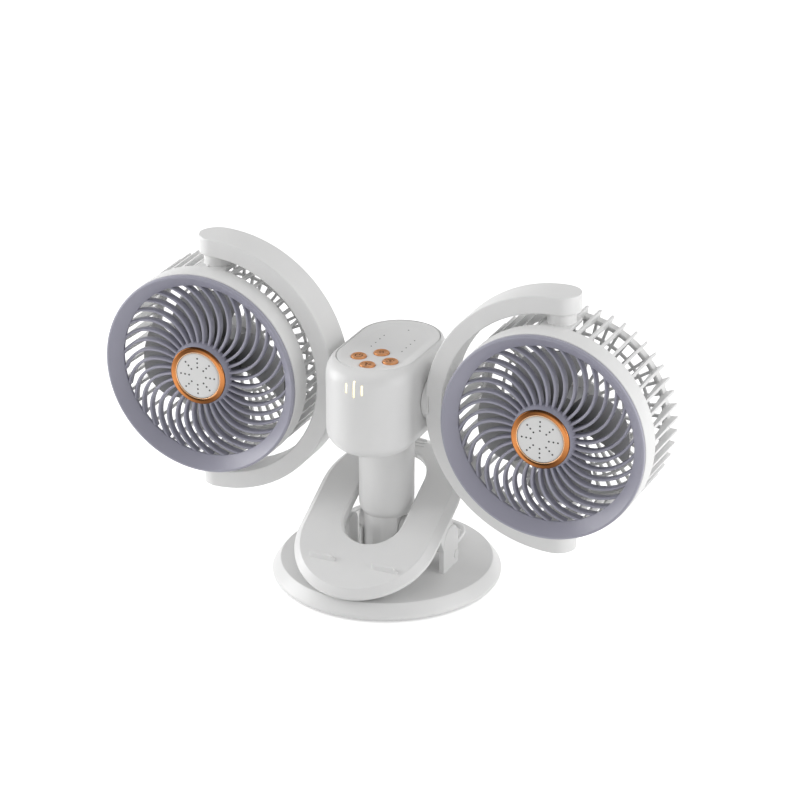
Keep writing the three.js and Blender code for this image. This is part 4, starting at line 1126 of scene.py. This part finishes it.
def makeHousing(name, side, body):
    inner, outer, back = housing["inner"], housing["radius"], housing["back"]
    bandFront, bandBack = housing["bandFront"], housing["bandBack"]
    band = turnedPiece("band", [(inner, bandFront, 0.4), (outer, bandFront, 0.5), (outer, bandBack, 0.6),
                                (inner, bandBack, 0.6)], whitePlastic, 192, onY)
    rimRadius, rimInner, rimFront = housing["rimRadius"], housing["rimInner"], back - housing["rimDepth"]
    wall = rimRadius - housing["rimWall"]
    rim = turnedPiece("rim", [
        (wall, rimFront, 0.7), (rimRadius, rimFront, 0.7), (rimRadius, back, 1.2), (rimInner, back, 0.6),
        (rimInner, back - 2.4, 0.5), (wall, back - 2.6, 0.8)], whitePlastic, 192, onY)
    hubRadius, hubFront, hubBack = housing["hubRadius"], housing["hubFront"], housing["hubBack"]
    dish = housing["hubDish"]
    hub = turnedPiece("rear_hub", [
        (0, hubFront), (hubRadius, hubFront, 0.4), (hubRadius, back, 0.5), (hubRadius - 2, hubBack, 0.6),
        (dish, hubBack, 0.3), (dish - 0.4, back, 0.3), (0, back)], whitePlastic, 96, onY)
    rings = []
    near, far = housing["ringFront"], housing["ringBack"]
    for r in housing["rings"]:
        low, high = r - housing["ringHalf"], r + housing["ringHalf"]
        corners = [(low, near, 0.3), (high, near, 0.3), (high, far, 0.6), (low, far, 0.6)]
        rings.append(turnedPiece("guard_ring", corners, whitePlastic, 128, onY))

    # fins, outer spokes and inner spokes, each a unit shape repeated round the axis
    first, count = math.radians(housing["firstFin"]), housing["fins"]
    foot, end = housing["rings"][0], rimInner + 1
    near, far, inside = housing["spokeFront"], housing["spokeBack"], housing["spokeFrom"]
    pieces = [band, rim, hub]
    for part, number, points in (
            ("fin", count, finOutline),
            ("spoke", count, [(foot, far), (foot, near), (end, near - 0.2), (end, far)]),
            ("inner_spoke", count // 2, [(inside, far), (inside, near), (foot + 1, near), (foot + 1, far)])):
        unit = ribSlab(part, points)
        pieces.append(aroundAxis(part + "s", unit, number, whitePlastic, first, towardsFront))

    pieces += rings
    half, neckRadius, bore = housing["saddleHalf"], housing["neckRadius"], housing["neckBore"]
    for up in (1, -1):
        def place(u, v, h, up=up):
            return (u, v, up * h)
        outline = rectangle(-half, half, bandBack - 1, housing["saddleBack"], 2.5)
        pieces.append(slabPiece("saddle", outline, housing["saddleFrom"], housing["saddleTo"], 0.5, place,
                                whitePlastic))
        pieces.append(turnedPiece("neck", [
            (bore, housing["neckFrom"]), (neckRadius + 0.6, housing["neckFrom"]),
            (neckRadius, housing["neckWaist"], 1.5), (neckRadius, housing["neckTo"], 0.4),
            (bore, housing["neckTo"], 0.2)], whitePlastic, 64, place))
    finishOnFan(joined(name + "_skin", pieces), side, body, "white_plastic", name)


def makeGrille(name, side, body):
    outer, front, back, throat = grille["radius"], grille["front"], grille["back"], grille["throat"]
    rim = turnedPiece("grille_rim", [
        (outer, back, 0.3), (outer, front + 0.6, 0.6), (outer - 1.4, front, 0.6), (throat, front + 7.4, 0.5),
        (throat, front + 9.8, 0.3), (65.8, back + 1.4, 0.3), (65.8, back, 0.2)], lilacPlastic, 192, onY)
    hubFront, hubBack = grille["hubFront"], grille["hubFront"] + grille["hubDepth"]
    hub = turnedPiece("grille_hub", [
        (0, hubFront), (trim["radius"] + 0.2, hubFront, 0.5), (grille["hubRadius"], hubBack, 0.4),
        (0, hubBack)], lilacPlastic, 128, onY)
    sizes = {"Hub Radius": "ribFrom", "Rim Radius": "ribTo", "Hub Height": "ribFront",
             "Rim Height": "ribBack"}
    values = {label: grille[key] * mm for label, key in sizes.items()}
    values.update({key.title(): grille[key] * mm for key in ("bow", "thickness", "depth", "edge")})
    values.update({"Count": grille["ribs"], "Curl": math.radians(grille["curl"])})
    ribs = repeated("ribs", curledRibs, values, lilacPlastic, towardsFront)
    finishOnFan(joined(name + "_skin", [rim, hub, ribs]), side, body, "lilac_plastic", name)


def makeTrim(side, label, body):
    back, inner = trim["back"], trim["radius"] - trim["width"]
    # the ring's copper is darkened in two wedges by painted reflection shade
    copperRingPaintedWedges = metalMaterial(label + " ring copper", "copper", fanCentre(side), (1, 0, 1))
    # the inner lip is the same copper painted paler, a painted highlight
    copperLipPaintedHighlight = metalMaterial(label + " lip copper", "highlight-painted copper", fanCentre(side), (1, 0, 1))
    middle, half = (trim["radius"] + inner) / 2 + 0.1, trim["width"] / 2 - 0.1
    crown = [(middle + half * math.cos(a), back - trim["height"] * math.sin(a) ** 0.8)
             for a in angles(0, math.pi, 20)[:-1]]
    crown += [(inner + 0.2, back - 0.1), (inner + 0.2, back)]
    ring = turnedPiece("ring", crown, copperRingPaintedWedges, 160, onY, 60)
    lipTop = back - trim["lipHeight"]
    lip = turnedPiece("lip", [(inner + trim["lipWidth"], back), (inner + trim["lipWidth"], lipTop, 0.2),
                              (inner, lipTop + 0.1, 0.2), (inner, back)], copperLipPaintedHighlight, 160, onY)
    finishOnFan(joined(label + "_hub_ring", [ring, lip]), side, body, "copper_trim", label + "_hub_trim")

    radius = trim["capRadius"]
    pieces = [turnedPiece("cap", [
        (0, back), (radius, back), (radius, back - 0.7, 0.5), (radius - 1.4, back - 1.1, 0.8),
        (0, back - trim["capHeight"])], whitePlastic, 96, onY)]
    # the unit dot stands on the cap's low dome, in the pattern's own frame
    for r in trim["dots"]:
        top, wide = 1.13 - back + 0.3 * (1 - r / trim["domeRadius"]), trim["dotRadius"]
        outline = [(0, -back), (wide, -back), (wide, top), (0, top)]
        dot = turnedPiece("dot", outline, dotInk, 14, standing(r, 0))
        pieces.append(aroundAxis("dots", dot, trim["rows"], dotInk, 0, towardsFront))
    finishOnFan(joined(label + "_hub_cap_skin", pieces), side, body, "white_plastic", label + "_hub_cap")


def bladeShape(bladePlasticPaintedShade):
    # a broad blade, thin and twisted, drawn round Z with the air leaving along +Z
    root = impeller["hubRadius"] - 1
    rings = []
    for t in angles(0, 1, impeller["out"]):
        r = root + (impeller["tip"] - root) * t
        # one edge stays straight, the other curves away from the tip
        lead = impeller["lead"] + impeller["leadGain"] * t * t
        spread = impeller["spread"] - impeller["spreadLoss"] * t ** 4
        edge = 1 - max(0, (t - 0.86) / 0.14) ** 2 * 0.1
        rise = impeller["rise"] - impeller["riseLoss"] * t
        front, back = [], []
        for s in angles(-1, 1, impeller["across"]):
            a = math.radians(lead - spread + spread * s * edge)
            middle = impeller["middle"] - rise * s + impeller["camber"] * (1 - s * s)
            half = impeller["edgeHalf"] + impeller["bodyHalf"] * (1 - abs(s) ** 3)
            front.append((r * math.sin(a), r * math.cos(a), middle + half))
            back.append((r * math.sin(a), r * math.cos(a), middle - half))
        rings.append(front + back[::-1])
    return loftPiece("blade", rings, bladePlasticPaintedShade, False, 70)


def makeImpeller(name, side, body):
    # the blades and hub carry painted shade, darker towards the fan's axis
    bladePlasticPaintedShade = paintedShadeMaterial("blade grey", fanCentre(side), impeller["paintedShadeNear"], impeller["paintedShadeFar"],
                                  impeller["paintedShadeDarkest"])
    outer, front = impeller["hubRadius"], impeller["hubFront"]
    inner = outer - impeller["wall"]
    ceiling, boss, foot = impeller["ceiling"], impeller["bossRadius"], impeller["bossFrom"]
    bore, end = impeller["bore"], impeller["boreTo"]
    hub = turnedPiece("hub", [
        (0, front), (inner, front, 1.5), (outer, front - 3, 1.5), (outer, 0, 0.4), (inner, 0, 0.4),
        (inner, ceiling, 0.8), (boss, ceiling, 0.4), (boss, foot, 0.4), (bore, foot), (bore, end), (0, end),
    ], bladePlasticPaintedShade, 96)
    moved(hub, sloped(0, 0, 0, 90))
    blades = aroundAxis("blades", bladeShape(bladePlasticPaintedShade), impeller["blades"], bladePlasticPaintedShade, 0, towardsFront)
    finishOnFan(joined(name + "_skin", [hub, blades]), side, body, "grey_plastic", name)


for label, side in (("left", -1), ("right", 1)):
    makeYoke(label + "_yoke", side)
    makeHousing(label + "_rear_housing", side, label + "_fan")
    makeGrille(label + "_front_grille", side, label + "_fan")
    makeTrim(side, label, label + "_fan")
    makeImpeller(label + "_impeller", side, label + "_impeller")
    print(label, "fan made")


# ---- finishes of the CAD nodes that stay

finishOf = {"base_bottom_cover": innerPlastic, "base_weight": plainSteel, "swivel_collar": innerPlastic,
            "control_board": boardCoat, "battery_cradle": innerPlastic, "battery_left": cellWrap,
            "battery_right": cellWrap}
for side in ("left", "right"):
    finishOf[side + "_yoke_retainer"] = innerPlastic
    finishOf[side + "_motor"] = innerPlastic
for name, material in finishOf.items():
    for materialSlot in nodes[name].material_slots:
        materialSlot.material = material


# ---- floor, light and camera

room = dict(floorHalf=6000, floorZ=-0.02, floorGlow=0.55, plainLight=0.55, fadeFrom=0.05, fadeTo=0.6,
            overhead=0.12)


def makeFloor():
    half, z = room["floorHalf"], room["floorZ"]
    data = bpy.data.meshes.new("floor")
    corners = [(-half, -half), (half, -half), (half, half), (-half, half)]
    data.from_pydata([Vector((x, y, z)) * mm for x, y in corners], [], [(0, 1, 2, 3)])
    floor = bpy.data.objects.new("floor", data)
    bpy.context.scene.collection.objects.link(floor)
    material = bpy.data.materials.new("pale floor")
    material.use_nodes = True
    tree = material.node_tree
    calc = partial(mathNode, tree)
    # it glows for the camera and in reflections only, so that the object gets no more light
    path = addNode(tree, "ShaderNodeLightPath")
    seen = calc("MAXIMUM", path["Is Camera Ray"], path["Is Glossy Ray"])
    seen = calc("MAXIMUM", seen, path["Is Transmission Ray"])
    glow = calc("MULTIPLY", seen, room["floorGlow"])
    feed(tree, tree.nodes["Principled BSDF"].inputs, {
        "Base Color": (0.88, 0.88, 0.88, 1), "Roughness": 0.9, "Specular IOR Level": 0.1,
        "Emission Color": greyFrom(tree, glow), "Emission Strength": 1.0})
    data.materials.append(material)


def makeWorld():
    world = bpy.data.worlds.new("pale room")
    bpy.context.scene.world = world
    world.use_nodes = True
    tree = world.node_tree
    calc = partial(mathNode, tree)
    # white for the camera; in reflections white low down and darker overhead, like a studio
    direction = addNode(tree, "ShaderNodeTexCoord")["Generated"]
    parts = addNode(tree, "ShaderNodeSeparateXYZ", {0: direction})
    path = addNode(tree, "ShaderNodeLightPath")
    fade = addNode(tree, "ShaderNodeMapRange", {
        "From Min": room["fadeFrom"], "From Max": room["fadeTo"], "To Min": 1.0, "To Max": room["overhead"],
        "Value": parts["Z"]})[0]
    mirrored = calc("MULTIPLY", path["Is Glossy Ray"], fade)
    direct = calc("MAXIMUM", path["Is Camera Ray"], path["Is Transmission Ray"])
    plain = calc("SUBTRACT", 1.0, calc("MAXIMUM", direct, path["Is Glossy Ray"]))
    shade = calc("ADD", calc("MAXIMUM", mirrored, direct), calc("MULTIPLY", plain, room["plainLight"]))
    feed(tree, tree.nodes["Background"].inputs, {"Color": greyFrom(tree, shade), "Strength": 1.0})


def aimed(name, data, place, aim):
    thing = bpy.data.objects.new(name, data)
    bpy.context.scene.collection.objects.link(thing)
    thing.location = place
    thing.rotation_mode = "QUATERNION"
    thing.rotation_quaternion = (aim - Vector(place)).to_track_quat("-Z", "Y")
    return thing


def softLight(name, place, aim, size, power):
    data = bpy.data.lights.new(name, "AREA")
    data.shape = "RECTANGLE"
    data.size, data.size_y = size
    data.energy = power
    aimed(name, data, place, aim)


target = Vector((0.0094, 0, 0.1245))
softLight("left window", (-1.55, -0.3, 0.6), target, (0.9, 1.2), 16)
softLight("right window", (1.55, 0.0, 0.45), target, (0.8, 1.2), 11)
softLight("overhead", (0.2, 0.3, 1.7), target, (1.2, 1.2), 3)
makeFloor()
makeWorld()

cameraData = bpy.data.cameras.new("camera")
cameraData.sensor_width = 36
cameraData.lens = 149.175
bpy.context.scene.camera = aimed("camera", cameraData, (0.8171, -1.7647, 0.9801), target)
bpy.context.scene.view_settings.view_transform = "Standard"
bpy.data.materials.remove(blankTool)

print("scene ready")
